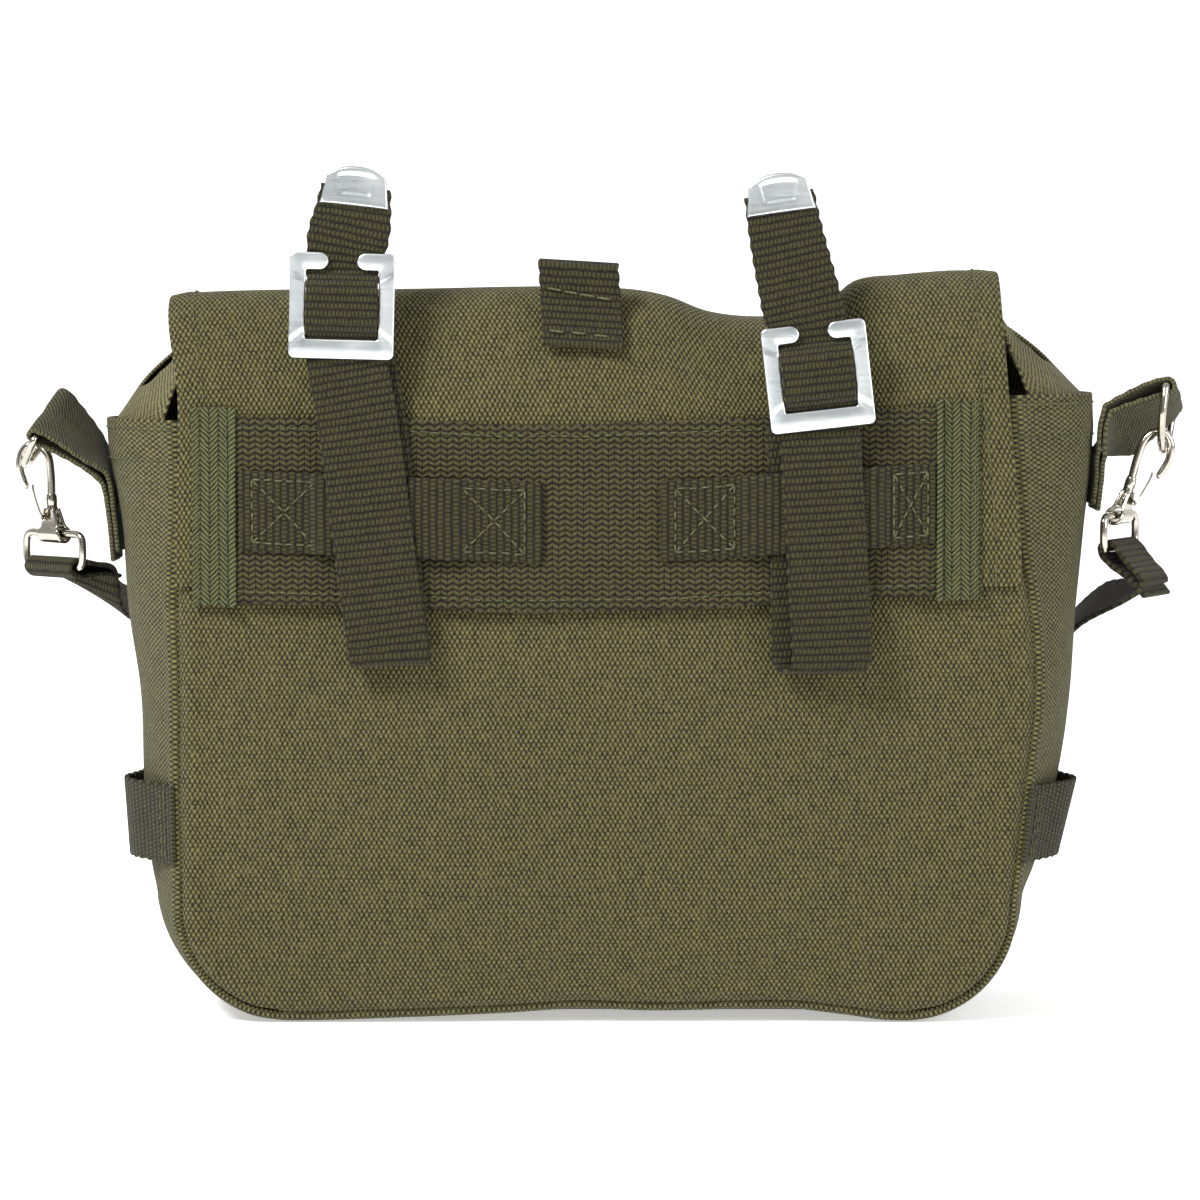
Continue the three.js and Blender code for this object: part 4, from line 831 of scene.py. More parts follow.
# %% Panels
def ripples(x, z):
    """Slight unevenness of stiff canvas: a few long crossing waves, a third of a millimetre high."""
    waves = ((0.071, 0.043, 0.3), (-0.052, 0.088, 1.9), (0.029, -0.117, 4.1), (0.133, 0.021, 2.2))
    return 0.09 * sum(np.sin(a * x + b * z + c) for a, b, c in waves)


# Creases of the back: from one end to the other, how wide, and how deep (a ridge is negative)
CREASES = {
    "x0": [-127, -120, 92, 104, 84, -60, 20],
    "z0": [36, 60, 92, 66, 112, 26, 22],
    "x1": [-92, -98, 112, 124, 98, -30, 60],
    "z1": [20, 44, 138, 96, 142, 34, 34],
    "wide": [6, 5, 8, 6, 5, 7, 8],
    "deep": [0.9, 0.6, 1.1, 0.6, -0.6, 0.4, 0.4],
}


def creases(x, z):
    """Each crease is a bell across its line, which fades beyond both ends."""
    total = 0.0
    for x0, z0, x1, z1, wide, deep in zip(*CREASES.values()):
        ahead = np.array([x1 - x0, z1 - z0], float)
        size = np.hypot(*ahead)
        ahead /= size
        t = (x - x0) * ahead[0] + (z - z0) * ahead[1]
        off = (x - x0) * ahead[1] - (z - z0) * ahead[0]
        fade = np.exp(-(((t - size / 2) / (size * 0.6)) ** 4))
        total = total + deep * np.exp(-((off / wide) ** 2)) * fade
    return total


def seam_roll(distance, x, z):
    """Beside a seam the cloth rolls up by a millimetre, then dives into it, with small puckers."""
    pucker = 1 + 0.35 * np.sin((x * 0.9 + z * 1.1) * 0.55) * np.sin((x - z) * 0.23)
    return 0.9 * bump(distance, 4.5, 3.0) * pucker - 3.6 * np.exp(-distance / 1.5)


def panel_grid(low, top, columns, row_count):
    """Places on a panel, closer together near the seams: x from seam to seam, z from low to top."""
    ease = lambda t: (t - 0.12 * np.sin(2 * np.pi * t))
    u = ease(np.linspace(0, 1, columns))
    v = np.linspace(0, 1, row_count) ** 1.25
    z = lerp(low, top, v)[:, None] + 0 * u[None]
    inset = 1.2 + 0.8 * smoothstep(60, 10, z)
    x = lerp(seam_x("left", z, inset), seam_x("right", z, inset), u[None])
    return x, z


LOW = BASE_BULGE + 1.5
x, z = panel_grid(LOW, HEM["left"], 131, 105)
distance = seam_distance(x, z)
soften = smoothstep(0, 14, distance)
unevenness = ripples(x, z) * soften
y = BACK_Y - back_swell(x, z) + CANVAS / 2 - seam_roll(distance, x, z) - unevenness + creases(x, z) * soften
dive = 3.6 * np.exp(-distance / 1.5)
below = smoothstep(26, 6, z)
weave = np.stack([x + np.sign(x) * dive * (1 - below), z - dive * below], -1)
grid = points(x, y, z + arch_lift(x, BACK_Y, z))
back_panel = shell("back_panel_cloth", grid, CANVAS, canvas, weave)
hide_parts("back_panel")

y = DEPTH / 2 + front_swell(x, z) - CANVAS / 2 + seam_roll(distance, x, z) + unevenness
front_panel = shell("front_panel_cloth", points(x, y, z), CANVAS, canvas, weave, turn=-1)
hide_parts("front_panel")
print("panels:", len(back_panel.data.polygons), "faces each")

# %% [markdown]
# ## The gusset
#
# One strip of canvas makes both sides and the base. It bulges most at the hems, where the bag
# opens, and lies flat under the base. Its edges roll into the same seams as the panels, and its
# two top ends are turned under and stitched twice.


# %% Gusset
def gusset_stations(per_side=64, per_corner=28, per_base=60):
    """Along the strip: places on the seam line, the way out of the cloth, its bulge and flatness."""
    rows = []
    for side in ("left", "right"):
        s = SIGN[side]
        z = np.linspace(HEM[side], CORNER_TOP, per_side)
        run = np.stack([seam_x(side, z), z, 0 * z + s, 0 * z, side_bulge(side, z), 0 * z], -1)
        t = np.linspace(0, 1, per_corner + 1)[1:]
        angle = t * np.pi / 2
        centre = seam_x(side, np.array(CORNER_TOP)) - s * CORNER_RADIUS
        bulge = lerp(BASE_BULGE, side_bulge(side, CORNER_TOP), (1 - t) ** 2)
        way_x, way_z = s * np.cos(angle), -np.sin(angle)
        at_x, at_z = centre + way_x * CORNER_RADIUS, CORNER_TOP + way_z * CORNER_RADIUS
        corner = [at_x, at_z, way_x, way_z, bulge, 0.8 * t]
        rows.append(np.concatenate([run, np.stack(corner, -1)]))
    left, right = rows[0], rows[1][::-1]
    x = np.linspace(left[-1, 0], right[0, 0], per_base + 1)[1:-1]
    base = np.stack([x, 0 * x + BASE_BULGE, 0 * x, 0 * x - 1, 0 * x + BASE_BULGE, 0 * x + 0.8], -1)
    return np.concatenate([left, base, right])


def gusset_surface(stations, t, inset):
    """Each cross-section is a parabola beyond its flat middle; t runs from -1 at the back to 1."""
    x, z, out_x, out_z, bulge, flat = (stations[:, k][None] for k in range(6))
    t = t[:, None]
    curve = np.maximum(0, np.abs(t) - flat) / (1 - flat)
    out = bulge * (1 - curve**2) - inset
    y = t * DEPTH / 2 + 0 * x
    px, pz = x + out_x * out, z + out_z * out
    return points(px, y, pz + arch_lift(px, y, pz))


stations = gusset_stations()
t = np.linspace(-1, 1, 57)
t = np.sign(t) * (1 - (1 - np.abs(t)) ** 1.15) * 0.995
grid = gusset_surface(stations, t, CANVAS / 2)
run = along(grid, 1)
to_edge = (1 - np.abs(t))[:, None] * DEPTH / 2
normal = grid_normals(grid)
side_share = smoothstep(0, 12, np.abs(stations[:, 0]) - 100)[None]
roll = bump(to_edge, 3.0, 2.2) * (0.5 + 0.5 * side_share)
folds = 0.5 * np.sin(run * 0.11)[None] * np.sin(t * 2.2 + 0.6)[:, None] * side_share
hem_near = np.minimum(run, run[-1] - run)[None]
hem_thick = 0.45 * smoothstep(14.2, 12.6, hem_near) - 0.35 * bump(hem_near, 12.3, 0.8)
outward = np.sign((grid * normal).sum(-1, keepdims=True).mean()) * normal
grid = grid + outward * (roll + folds * smoothstep(0, 10, to_edge) * side_share + hem_thick)[..., None]
grid[..., 1] -= np.sign(t)[:, None] * 2.8 * np.exp(-to_edge / 1.3)
gusset = shell("gusset_cloth", grid, CANVAS, canvas, turn=int(np.sign((grid * normal).sum(-1).mean())))
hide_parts("gusset")
print("gusset strip", round(run[-1]), "mm long")

lines = []
for column_at in (3.2, 12.3):
    for distance_at in (column_at, run[-1] - column_at):
        index = int(np.argmin(np.abs(run - distance_at)))
        lines.append((grid[2:-2, index] + outward[2:-2, index] * CANVAS / 2, outward[2:-2, index]))
hem_stitches = stitches("gusset_hem_stitches", lines, green_thread, length=2.5, gap=1.1)


# %% [markdown]
# ## The flap
#
# The flap is one sheet: sewn across the back under the band, up over the ridge, across the top and
# down the front. Its path is a short table. The ridge dips where the bag is less full, and both
# side hems are folded and stitched 8 mm in.


# %% Flap
def flap_middle(u, v):
    """The flap's inner face at share u across and v along its way, from the two tables."""
    station = v * (len(FLAP_WAY["back"]) - 1)
    low = np.where(station < FLAP_OVER, FLAP_LOW["back"], FLAP_LOW["front"])
    rise, over = flap_rise(station), flap_back(station)
    level = lerp(low, HEIGHT, rise) / HEIGHT
    x = lerp(HALF * flap_edge["left"](level), HALF * flap_edge["right"](level), u)
    ridge = HEIGHT * ridge_share(lerp(-1, 1, u))
    top = lerp(HEIGHT, ridge, np.clip(1.25 - over, 0, 1))
    back_side = lerp(FLAP_LOW["back"], top, rise)
    front_side = lerp(FLAP_LOW["front"], top, rise)
    past_ridge = np.clip(station - FLAP_OVER + 0.5, 0, 1)
    z = np.where(over < 0.5, back_side, lerp(back_side, front_side, past_ridge))
    swell = lerp(-back_swell(x, np.minimum(z, HEIGHT)), front_swell(x, z), over)
    return points(x, lerp(-DEPTH / 2, DEPTH / 2, over) + swell, z)


def flap_surface(u, v, out):
    """The middle line moved out along the normal of its own profile."""
    step = 2e-3
    ahead = flap_middle(u, np.minimum(v + step, 1)) - flap_middle(u, np.maximum(v - step, 0))
    normal = unit(points(0 * ahead[..., 0], -ahead[..., 2], ahead[..., 1]))
    return flap_middle(u, v) + normal * np.asarray(out)[..., None]


# Soft dents in the flap's back, above the band: place, size and depth
FLAP_DENTS = {
    "x": [8, -8, 34, -44, 96, 118, -118],
    "z": [207, 214, 216, 212, 216, 214, 212],
    "wide": [13, 9, 16, 14, 12, 8, 10],
    "tall": [7, 9, 12, 10, 14, 18, 16],
    "deep": [0.9, 0.7, 0.6, 0.6, 0.7, -0.5, 0.6],
}
u, v = np.meshgrid(np.linspace(0, 1, 141), np.linspace(0, 1, 221))
flap_rest = flap_surface(u, v, 0 * u + CLOTH_GAP + CANVAS / 2)
across_flap = along(flap_rest, 1)
down_flap = along(flap_rest, 0)
from_edge = np.minimum(u, 1 - u) * across_flap[-1]
from_end = np.minimum(v, 1 - v) * down_flap[-1]
hem = 0.45 * smoothstep(9.6, 8.4, from_edge) - 0.4 * bump(from_edge, 8.4, 0.9)
hem_end = 0.4 * smoothstep(9.6, 8.4, from_end) - 0.35 * bump(from_end, 8.4, 0.9)
wavy = 0.35 * np.sin(across_flap * 0.045)[None] * np.sin(down_flap * 0.06 + 1)[:, None]
on_the_back = smoothstep(0.36, 0.3, v)
dents = sum(
    deep * bump(flap_rest[..., 0], x, wide) * bump(flap_rest[..., 2], z, tall)
    for x, z, wide, tall, deep in zip(*FLAP_DENTS.values())
)
flap_out = CLOTH_GAP + CANVAS / 2 + hem + hem_end * (v > 0.5) + wavy * 0.6 - dents * on_the_back
flap_grid = flap_surface(u, v, flap_out)
flap = shell("flap_cloth", flap_grid, CANVAS, canvas, turn=1)
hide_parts("flap")
print("flap", round(across_flap[-1]), "by", round(down_flap[-1]), "mm")

# %% Flap stitches
flap_normal = grid_normals(flap_grid)
flap_face = flap_grid + flap_normal * CANVAS / 2


def flap_line(column_index, first=0, last=None):
    """One column of the flap's outer face, with its normals."""
    return flap_face[first:last, column_index], flap_normal[first:last, column_index]


hem_column = int(np.argmin(np.abs(across_flap - 8.4)))
end_row = int(np.argmin(np.abs(down_flap - (down_flap[-1] - 8.4))))
lines = [flap_line(hem_column), flap_line(-hem_column - 1)]
lines.append((flap_face[end_row, 3:-3], flap_normal[end_row, 3:-3]))
flap_stitches = stitches("flap_hem_stitches", lines, olive_thread, length=2.5, gap=1.0)

# %% [markdown]
# ## Storm ears
#
# A thin, paler cloth is sewn inside each gusset hem and folds in under the flap to keep rain out.
# It stands highest at its corners, and a slanting fold runs across it. A simulated sheet would fold
# by chance, so the gusset's own curve is leaned in by a share of its height instead.

# %% Storm ears
EARS = {
    "left": {"low": 0.74, "rim_middle": 0.862, "rim_corner": 0.935, "dip": 0.04, "lean": 0.3},
    "right": {"low": 0.77, "rim_middle": 0.893, "rim_corner": 0.962, "dip": 0.03, "lean": 0.36},
}

EAR_CORNER_LEAN = 0.9


def make_ear(side):
    """Above the hem the gusset's own curve leans in, most at the corners.

    A slow wave makes it slack, and a ridge and a valley slant across it, each a tent 0.3 wide in u.
    """
    ear = EARS[side]
    u, v = np.meshgrid(np.linspace(-1, 1, 61), np.linspace(0, 1, 41))
    corner = np.abs(u) ** 1.25
    rim = HEIGHT * (lerp(ear["rim_middle"], ear["rim_corner"], corner) + ear["dip"] * u * (1 - u**2))
    z = lerp(HEIGHT * ear["low"], rim, v)
    above = np.clip((z - HEM[side]) / (rim - HEM[side]), 0, 1)
    t = u * 0.8
    level = np.minimum(z, HEM[side])
    bulge = side_bulge(side, level) * (1 - t**2)
    out = bulge * (1 - above * lerp(ear["lean"], EAR_CORNER_LEAN, corner) * 0.8)
    slant = u + 0.75 * v
    crease = np.clip(1 - np.abs(slant - 0.15) / 0.3, 0, 1) - np.clip(1 - np.abs(slant + 0.45) / 0.3, 0, 1)
    slack = above * (0.5 * np.sin(u * 5 + v * 2) + 2.0 * crease - 0.6)
    x = seam_x(side, level) + SIGN[side] * (out - CANVAS - 2 * CLOTH_GAP - EAR_CLOTH / 2 + slack)
    grid = points(x, t * DEPTH / 2, z)
    total = along(grid, 0)[-1]
    uv = np.stack([t * DEPTH / 2, (1 - v) * total], -1)
    ear_piece = shell("storm_ear_cloth_" + side, grid, EAR_CLOTH, ear_cloth, uv, turn=SIGN[side])
    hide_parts("storm_ear_" + side)
    return ear_piece


ears = {side: make_ear(side) for side in SIGN}
print("ears:", [len(piece.data.polygons) for piece in ears.values()])

# %% [markdown]
# ## Band, tapes and belt loops
#
# A 60 mm webbing band is sewn across the back. A green herringbone tape binds each end, one edge on
# the band and the other on the flap. Two lengths of strap webbing are sewn on the band at both
# ends, and bridge the equipment straps between.

# %% Heights above the back panel's outer face
ON_FLAP = CLOTH_GAP + CANVAS + GAP
BAND_OUT = ON_FLAP + BAND_THICK / 2
TAPE_OUT = ON_FLAP + TAPE_CLOTH / 2
ON_BAND = ON_FLAP + BAND_THICK + GAP
LOOP_END_OUT = ON_BAND + WEBBING / 2
REAR_OUT = ON_BAND + GAP + WEBBING / 2
LOOP_OUT = REAR_OUT + WEBBING + GAP
FRONT_OUT = LOOP_OUT + WEBBING + 2 * GAP
BUCKLE_OUT = FRONT_OUT + WEBBING / 2 + 2 * GAP
BAND_FROM, BAND_TO = HALF * BAND["across"][0], HALF * BAND["across"][-1]


def band_middle(x):
    """The height of the band's middle line, from its table."""
    return HEIGHT * band_up(x / HALF)


def back_sheet(name, xs, vs, low_at, high_at, out_at, thick, finish, turned=False):
    """Cloth on the back from low_at(x) to high_at(x), out_at(x, v) off the panel, woven along x or z."""
    x, v = np.meshgrid(xs, vs)
    z = lerp(low_at(x), high_at(x), v)
    grid = on_back(x, z, out_at(x, v))
    uv = np.stack([z, x], -1) if turned else np.stack([x, z], -1)
    return shell(name, grid, thick, finish, uv)


def band_out(x, v):
    """The band lies a little slack: it lifts in a slow wave and bends down at its long edges."""
    edge = np.minimum(v, 1 - v) * BAND_HEIGHT
    return BAND_OUT + 0.12 * np.sin(x * 0.07) * np.sin(v * np.pi) - 0.25 * np.exp(-edge / 1.2)


# %% Band and tapes
band_low = lambda x: band_middle(x) - BAND_HEIGHT / 2 + 0.35 * np.sin(x * 0.09 + 1)
band_high = lambda x: band_middle(x) + BAND_HEIGHT / 2 + 0.35 * np.sin(x * 0.08)
xs = np.linspace(BAND_FROM, BAND_TO, 201)
vs = np.linspace(0, 1, 41)
band = back_sheet("band_webbing", xs, vs, band_low, band_high, band_out, BAND_THICK, band_webbing)
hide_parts("back_band")

tapes = {}
for side in SIGN:
    outer = BAND_FROM - GAP - TAPE_WIDTH if side == "left" else BAND_TO + GAP + TAPE_WIDTH
    inner = outer - SIGN[side] * (TAPE_WIDTH + 1.4)
    xs = np.linspace(min(outer, inner), max(outer, inner), 29)
    step_at = BAND_FROM - GAP if side == "left" else BAND_TO + GAP

    def tape_out(x, v, side=side, step_at=step_at):
        """Flat on the flap, then up over the band's end on its last millimetre."""
        on_band = smoothstep(0.4, -0.4, SIGN[side] * (x - step_at))
        return TAPE_OUT + on_band * (BAND_THICK + 0.25) + 0.08 * np.sin(v * 31 + x)

    low = lambda x: band_low(x) - 1.5
    high = lambda x: band_high(x) + 3
    tapes[side] = back_sheet(
        "end_tape_" + side, xs, np.linspace(0, 1, 61), low, high, tape_out, TAPE_CLOTH, tape_cloth
    )
    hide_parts("band_tape_" + side)
print("band", round(BAND_TO - BAND_FROM), "mm between its tapes")

# %% Belt loops
BELT_LOOPS = {
    "left": {"from": -0.835, "to": -0.116, "low": 0.702, "high": 0.686, "sewn_from": 0.88, "sewn_to": 0.95},
    "right": {"from": 0.172, "to": 0.822, "low": 0.688, "high": 0.712, "sewn_from": 1.0, "sewn_to": 0.6},
}


def belt_loop_height(side, x):
    """The height of a loop's middle line, straight from its first end to its last."""
    loop = BELT_LOOPS[side]
    start, end = HALF * loop["from"], HALF * loop["to"]
    return HEIGHT * lerp(loop["low"], loop["high"], (x - start) / (end - start))


def belt_loop_out(side, x):
    """Flat on the band where it is sewn, and a raised bridge between."""
    loop = BELT_LOOPS[side]
    rise = STRAP_WIDTH * 0.16
    start = HALF * loop["from"] + STRAP_WIDTH * loop["sewn_from"]
    end = HALF * loop["to"] - STRAP_WIDTH * loop["sewn_to"]
    up = smoothstep(start, start + rise, x) * smoothstep(end, end - rise, x)
    return lerp(LOOP_END_OUT, LOOP_OUT, up)


def belt_loop_edge(side, x, v):
    """The loop's lower edge at v = 0 and upper edge at v = 1, scalloped by the weave."""
    return belt_loop_height(side, x) + (v - 0.5) * (STRAP_WIDTH - 0.25 * np.cos(x * 1.6))


belt_loops = {}
for side in SIGN:
    xs = np.linspace(HALF * BELT_LOOPS[side]["from"], HALF * BELT_LOOPS[side]["to"], 121)
    belt_loops[side] = back_sheet(
        "belt_loop_webbing_" + side,
        xs,
        np.linspace(0, 1, 15),
        lambda x, side=side: belt_loop_edge(side, x, 0),
        lambda x, side=side: belt_loop_edge(side, x, 1),
        lambda x, v, side=side: belt_loop_out(side, x) - 0.2 * np.abs(2 * v - 1) ** 6,
        WEBBING,
        strap_webbing,
        turned=True,
    )
    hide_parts("belt_loop_" + side)
print("belt loops", [round(1000 * piece.dimensions.x) for piece in belt_loops.values()], "mm long")

# %% [markdown]
# Each sewn end has a box of stitches with a cross in it. Two rows of green thread hold the band,
# one near each long edge, and two hold each tape. The lines are drawn on the same curved back as
# the cloth, so the stitches lie on it everywhere.

# %% Stitches on the band, the tapes and the belt loops
share = np.linspace(0, 1, 9)
lines = []
for v, reach in ((0.055, 1), (0.945, 1)):
    x = lerp(BAND_FROM + 1.5, BAND_TO - 1.5, share)
    lines.append(back_line(x, lerp(band_low(x), band_high(x), v), BAND_OUT + BAND_THICK / 2, 240))
band_stitches = stitches("band_stitches", lines, green_thread, length=2.2, gap=1.3)

lines = []
for side in SIGN:
    outer = BAND_FROM - GAP - TAPE_WIDTH if side == "left" else BAND_TO + GAP + TAPE_WIDTH
    for inset in (1.6, TAPE_WIDTH - 1.2):
        x = np.full(5, outer - SIGN[side] * inset)
        z = lerp(band_low(x) - 1.2, band_high(x) + 2.6, np.linspace(0, 1, 5))
        lines.append(back_line(x, z, TAPE_OUT + TAPE_CLOTH / 2 + 0.05, 80))
tape_stitches = stitches("tape_stitches", lines, green_thread, length=2.2, gap=1.1)

# The sewn boxes: their ends along x, and half of their height
BOXES = {
    "side": ["left", "left", "right", "right"],
    "x0": [-109.0, -41.0, 27.5, 98.0],
    "x1": [-88.5, -21.0, 46.5, 109.0],
    "half": [10.2, 10.2, 10.2, 10.2],
}
lines = []
for side, x0, x1, half in zip(*BOXES.values()):
    corners = [(x0, -half), (x1, -half), (x1, half), (x0, half), (x0, -half), (x1, half)]
    legs = list(zip(corners[:-1], corners[1:])) + [((x1, -half), (x0, half))]
    for (xa, za), (xb, zb) in legs:
        x = lerp(xa, xb, share)
        z = belt_loop_height(side, x) + lerp(za, zb, share)
        lines.append(back_line(x, z, LOOP_END_OUT + WEBBING / 2, 40))
box_stitches = stitches("box_stitches", lines, olive_thread, length=2.6, gap=0.9, radius=0.3)
print("stitched lines:", len(lines) + 6)

# %% [markdown]
# ## Equipment straps
#
# Each strap comes down behind its belt loop, turns up at its foot, runs over the loop and up through
# the buckle: behind the bottom bar, over the hidden middle bar, and behind the prongs. One end is
# folded round that middle bar. A strap is a row of stations, each a middle point and the direction
# of its width, and a smooth curve joins them. Cloth simulation would let such a narrow strap slip
# out of its loop, so the stations hold it.

# %% Equipment strap tables, with up as shares of HEIGHT and across of half of WIDTH
STRAPS = {
    "left": {
        "foot": 0.497,
        "top": 1.134,
        "buckle": {"across": -0.588, "up": 0.977, "turn": -1.5},
        "shift_low": 0.5,
        "shift_high": 2.4,
        "axis": {
            "up": [0.49, 0.573, 0.82, 0.93, 1.03, 1.1, 1.19],
            "across": [-0.479, -0.496, -0.552, -0.585, -0.586, -0.562, -0.548],
        },
    },
    "right": {
        "foot": 0.487,
        "top": 1.125,
        "buckle": {"across": 0.542, "up": 0.883, "turn": 6.5},
        "shift_low": -6.5,
        "shift_high": -4,
        "axis": {
            "up": [0.48, 0.6, 0.8, 0.88, 0.95, 1.1, 1.19],
            "across": [0.578, 0.57, 0.549, 0.541, 0.515, 0.456, 0.44],
        },
    },
}
BUCKLE = {"width": STRAP_WIDTH + 8.8, "height": 34, "sheet": 1.8, "corner": 2, "bar": 5.2, "foot": 6.3}
BUCKLE.update({"mouth": 9.3, "prong": 5.6, "cross": 2.6, "step": 1.5})
TIP = {"width": 0.9 * STRAP_WIDTH, "height": 13, "sheet": 0.8, "grip": 6}
# Through the buckle: up in buckle heights, over from behind the frame to the bar's front
OVER_BAR = {
    "up": [-0.37, -0.306, -0.27, -0.218, -0.141, 0, 0.147, 0.232, 0.288, 0.326, 0.388],
    "over": [0, 0, 0.16, 0.57, 1, 1.04, 1, 0.57, 0.16, 0, 0],
}
# The fixed end: up in bar heights, round from the bar's front to behind it
ROUND_BAR = {"up": [-1, 0.5, 0.96, 1.04, 0.96, 0.5], "round": [0, 0, 0.13, 0.5, 0.87, 1]}
IN_TIP = 0.86
IN_BUCKLE = (BUCKLE["width"] - 2 * BUCKLE["bar"] - 4 * GAP) / STRAP_WIDTH


# %% Where an equipment strap lies
def buckle_frame(side):
    """The buckle's middle, its direction across the strap and its direction up the strap."""
    place = STRAPS[side]["buckle"]
    x, z = HALF * place["across"], HEIGHT * place["up"]
    y = on_back(x, min(z, HEM["left"]), BUCKLE_OUT)[1]
    turn = np.radians(place["turn"])
    across = np.array([np.cos(turn), 0, np.sin(turn)])
    return np.array([x, y, z]), across, np.array([-across[2], 0, across[0]])


def strap_station(side, z, out, shift=0.0):
    """The strap's middle at height z, and its width: flat on what is under its two edges."""
    axis = column(STRAPS[side]["axis"], "up", "across")
    step = 0.01
    lean = HALF * (axis(z / HEIGHT + step) - axis(z / HEIGHT - step)) / (2 * step * HEIGHT)
    level = unit(np.array([1, 0, -float(lean)]))
    middle = np.array([HALF * float(axis(z / HEIGHT)), 0, z]) + level * shift
    if z > HEIGHT * STRAPS[side]["buckle"]["up"] - 0.6 * BUCKLE["height"]:
        middle[1] = buckle_frame(side)[0][1] - out + BUCKLE_OUT
        return middle, level, 1.0
    edges = []
    for half in (-0.5, 0.5):
        edge = middle + level * half * STRAP_WIDTH
        on = on_back(edge[0], min(edge[2], HEM["left"]), out)
        edges.append(np.array([on[0], on[1], edge[2]]))
    return (edges[0] + edges[1]) / 2, unit(edges[1] - edges[0]), 1.0


def equipment_stations(side):
    """All stations from the fold round the middle bar, down behind the loop and up to the tip."""
    s = STRAPS[side]
    middle, foot = HEIGHT * s["buckle"]["up"], HEIGHT * s["foot"]
    reach = BUCKLE["height"] / 2
    behind = BUCKLE_OUT - GAP - WEBBING / 2
    bar_front = BUCKLE_OUT + BUCKLE["sheet"] - BUCKLE["step"]
    fixed = bar_front + GAP + WEBBING / 2
    over_bar = fixed + GAP + WEBBING + 0.25
    rear_top = BUCKLE_OUT - BUCKLE["step"] - GAP - WEBBING / 2
    centre, across, up_way = buckle_frame(side)

    def in_frame(up, out):
        """A station in the buckle's own frame."""
        return centre + up_way * up + np.array([0, BUCKLE_OUT - out, 0]), across, IN_BUCKLE

    def add(z, out, shift=0.0):
        return strap_station(side, z, out, shift)

    rows = []
    for up, turned in zip(ROUND_BAR["up"], ROUND_BAR["round"]):
        rows.append(in_frame(up * BUCKLE["cross"], lerp(fixed, rear_top, turned)))
    rows.append(in_frame(-0.35 * reach, rear_top - 0.5))
    rows.append(add(middle - reach, min(rear_top - 1.2, REAR_OUT + 2.2), s["shift_high"]))
    rear_low = min(middle - 1.9 * reach, HEIGHT * 0.8)
    for t in np.linspace(0, 1, 5):
        rows.append(add(lerp(rear_low, foot + 12, t), REAR_OUT, lerp(s["shift_high"], s["shift_low"], t)))
    rows.append(add(foot + 4, REAR_OUT, s["shift_low"]))
    rows.append(add(foot + 1, REAR_OUT + 0.5, s["shift_low"] * 0.8))
    rows.append(add(foot, (REAR_OUT + FRONT_OUT) / 2, s["shift_low"] * 0.5))
    rows.append(add(foot + 1, FRONT_OUT - 0.5, s["shift_low"] * 0.2))
    rows.append(add(foot + 4, FRONT_OUT))
    rows.extend(add(lerp(foot + 12, middle - 1.8 * reach, t), FRONT_OUT) for t in np.linspace(0, 1, 5))
    rows.append(add(middle - reach - 3, behind))
    for up, over in zip(OVER_BAR["up"], OVER_BAR["over"]):
        rows.append(in_frame(up * BUCKLE["height"], lerp(behind, over_bar, over)))
    rows.append(add(middle + reach + 3, behind))
    for t in np.linspace(0, 1, 4):
        at, level, _ = add(lerp(middle + reach + 8, HEIGHT * s["top"], t), behind)
        rows.append((at, level, lerp(1, IN_TIP, t)))
    return rows


# %% Equipment straps
strap_pieces, strap_lengths = {}, {}
for side in SIGN:
    rows_here = equipment_stations(side)
    piece, length = webbing("equipment_strap_webbing_" + side, rows_here, strap_webbing)
    strap_pieces[side], strap_lengths[side] = piece, length
    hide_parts("equipment_strap_" + side)
print("equipment straps", {side: round(length) for side, length in strap_lengths.items()}, "mm long")

# %% [markdown]
# ## Buckles
#
# A buckle is a C stamped from thick aluminium sheet: a bottom bar, two side bars and two prongs that
# point inwards at the top. A middle bar, set behind, carries the strap. The C has an outer and an
# inner edge path, and a rounded bar section is carried along between them.

# %% Bars of rolled sheet
def bar_rings(inner, outer, normal, thick, edge=0.6, corner_points=4):
    """A rounded rectangle from each inner point to its outer one, thick along the normal."""
    inner, outer = np.asarray(inner, float), np.asarray(outer, float)
    middle, across = (inner + outer) / 2, unit(outer - inner)
    wide = np.linalg.norm(outer - inner, axis=-1)
    radius = np.minimum(edge, np.minimum(wide, thick) / 2 * 0.98)
    angle = np.concatenate([np.linspace(0, np.pi / 2, corner_points) + k * np.pi / 2 for k in range(4)])
    side_x = np.repeat([1, -1, -1, 1], corner_points)
    side_y = np.repeat([1, 1, -1, -1], corner_points)
    a = side_x * (wide / 2 - radius)[:, None] + radius[:, None] * np.cos(angle)
    b = side_y * (thick / 2 - radius)[:, None] + radius[:, None] * np.sin(angle)
    return middle[:, None] + across[:, None] * a[..., None] + np.asarray(normal) * b[..., None]


def arc(centre, radius, start, end, count):
    """Points of an arc between two angles in degrees."""
    angle = np.radians(np.linspace(start, end, count))
    return np.stack([centre[0] + radius * np.cos(angle), centre[1] + radius * np.sin(angle)], -1)


def line(start, end, count):
    """Equal steps from start to end."""
    return lerp(np.array(start, float), np.array(end, float), np.linspace(0, 1, count)[:, None])


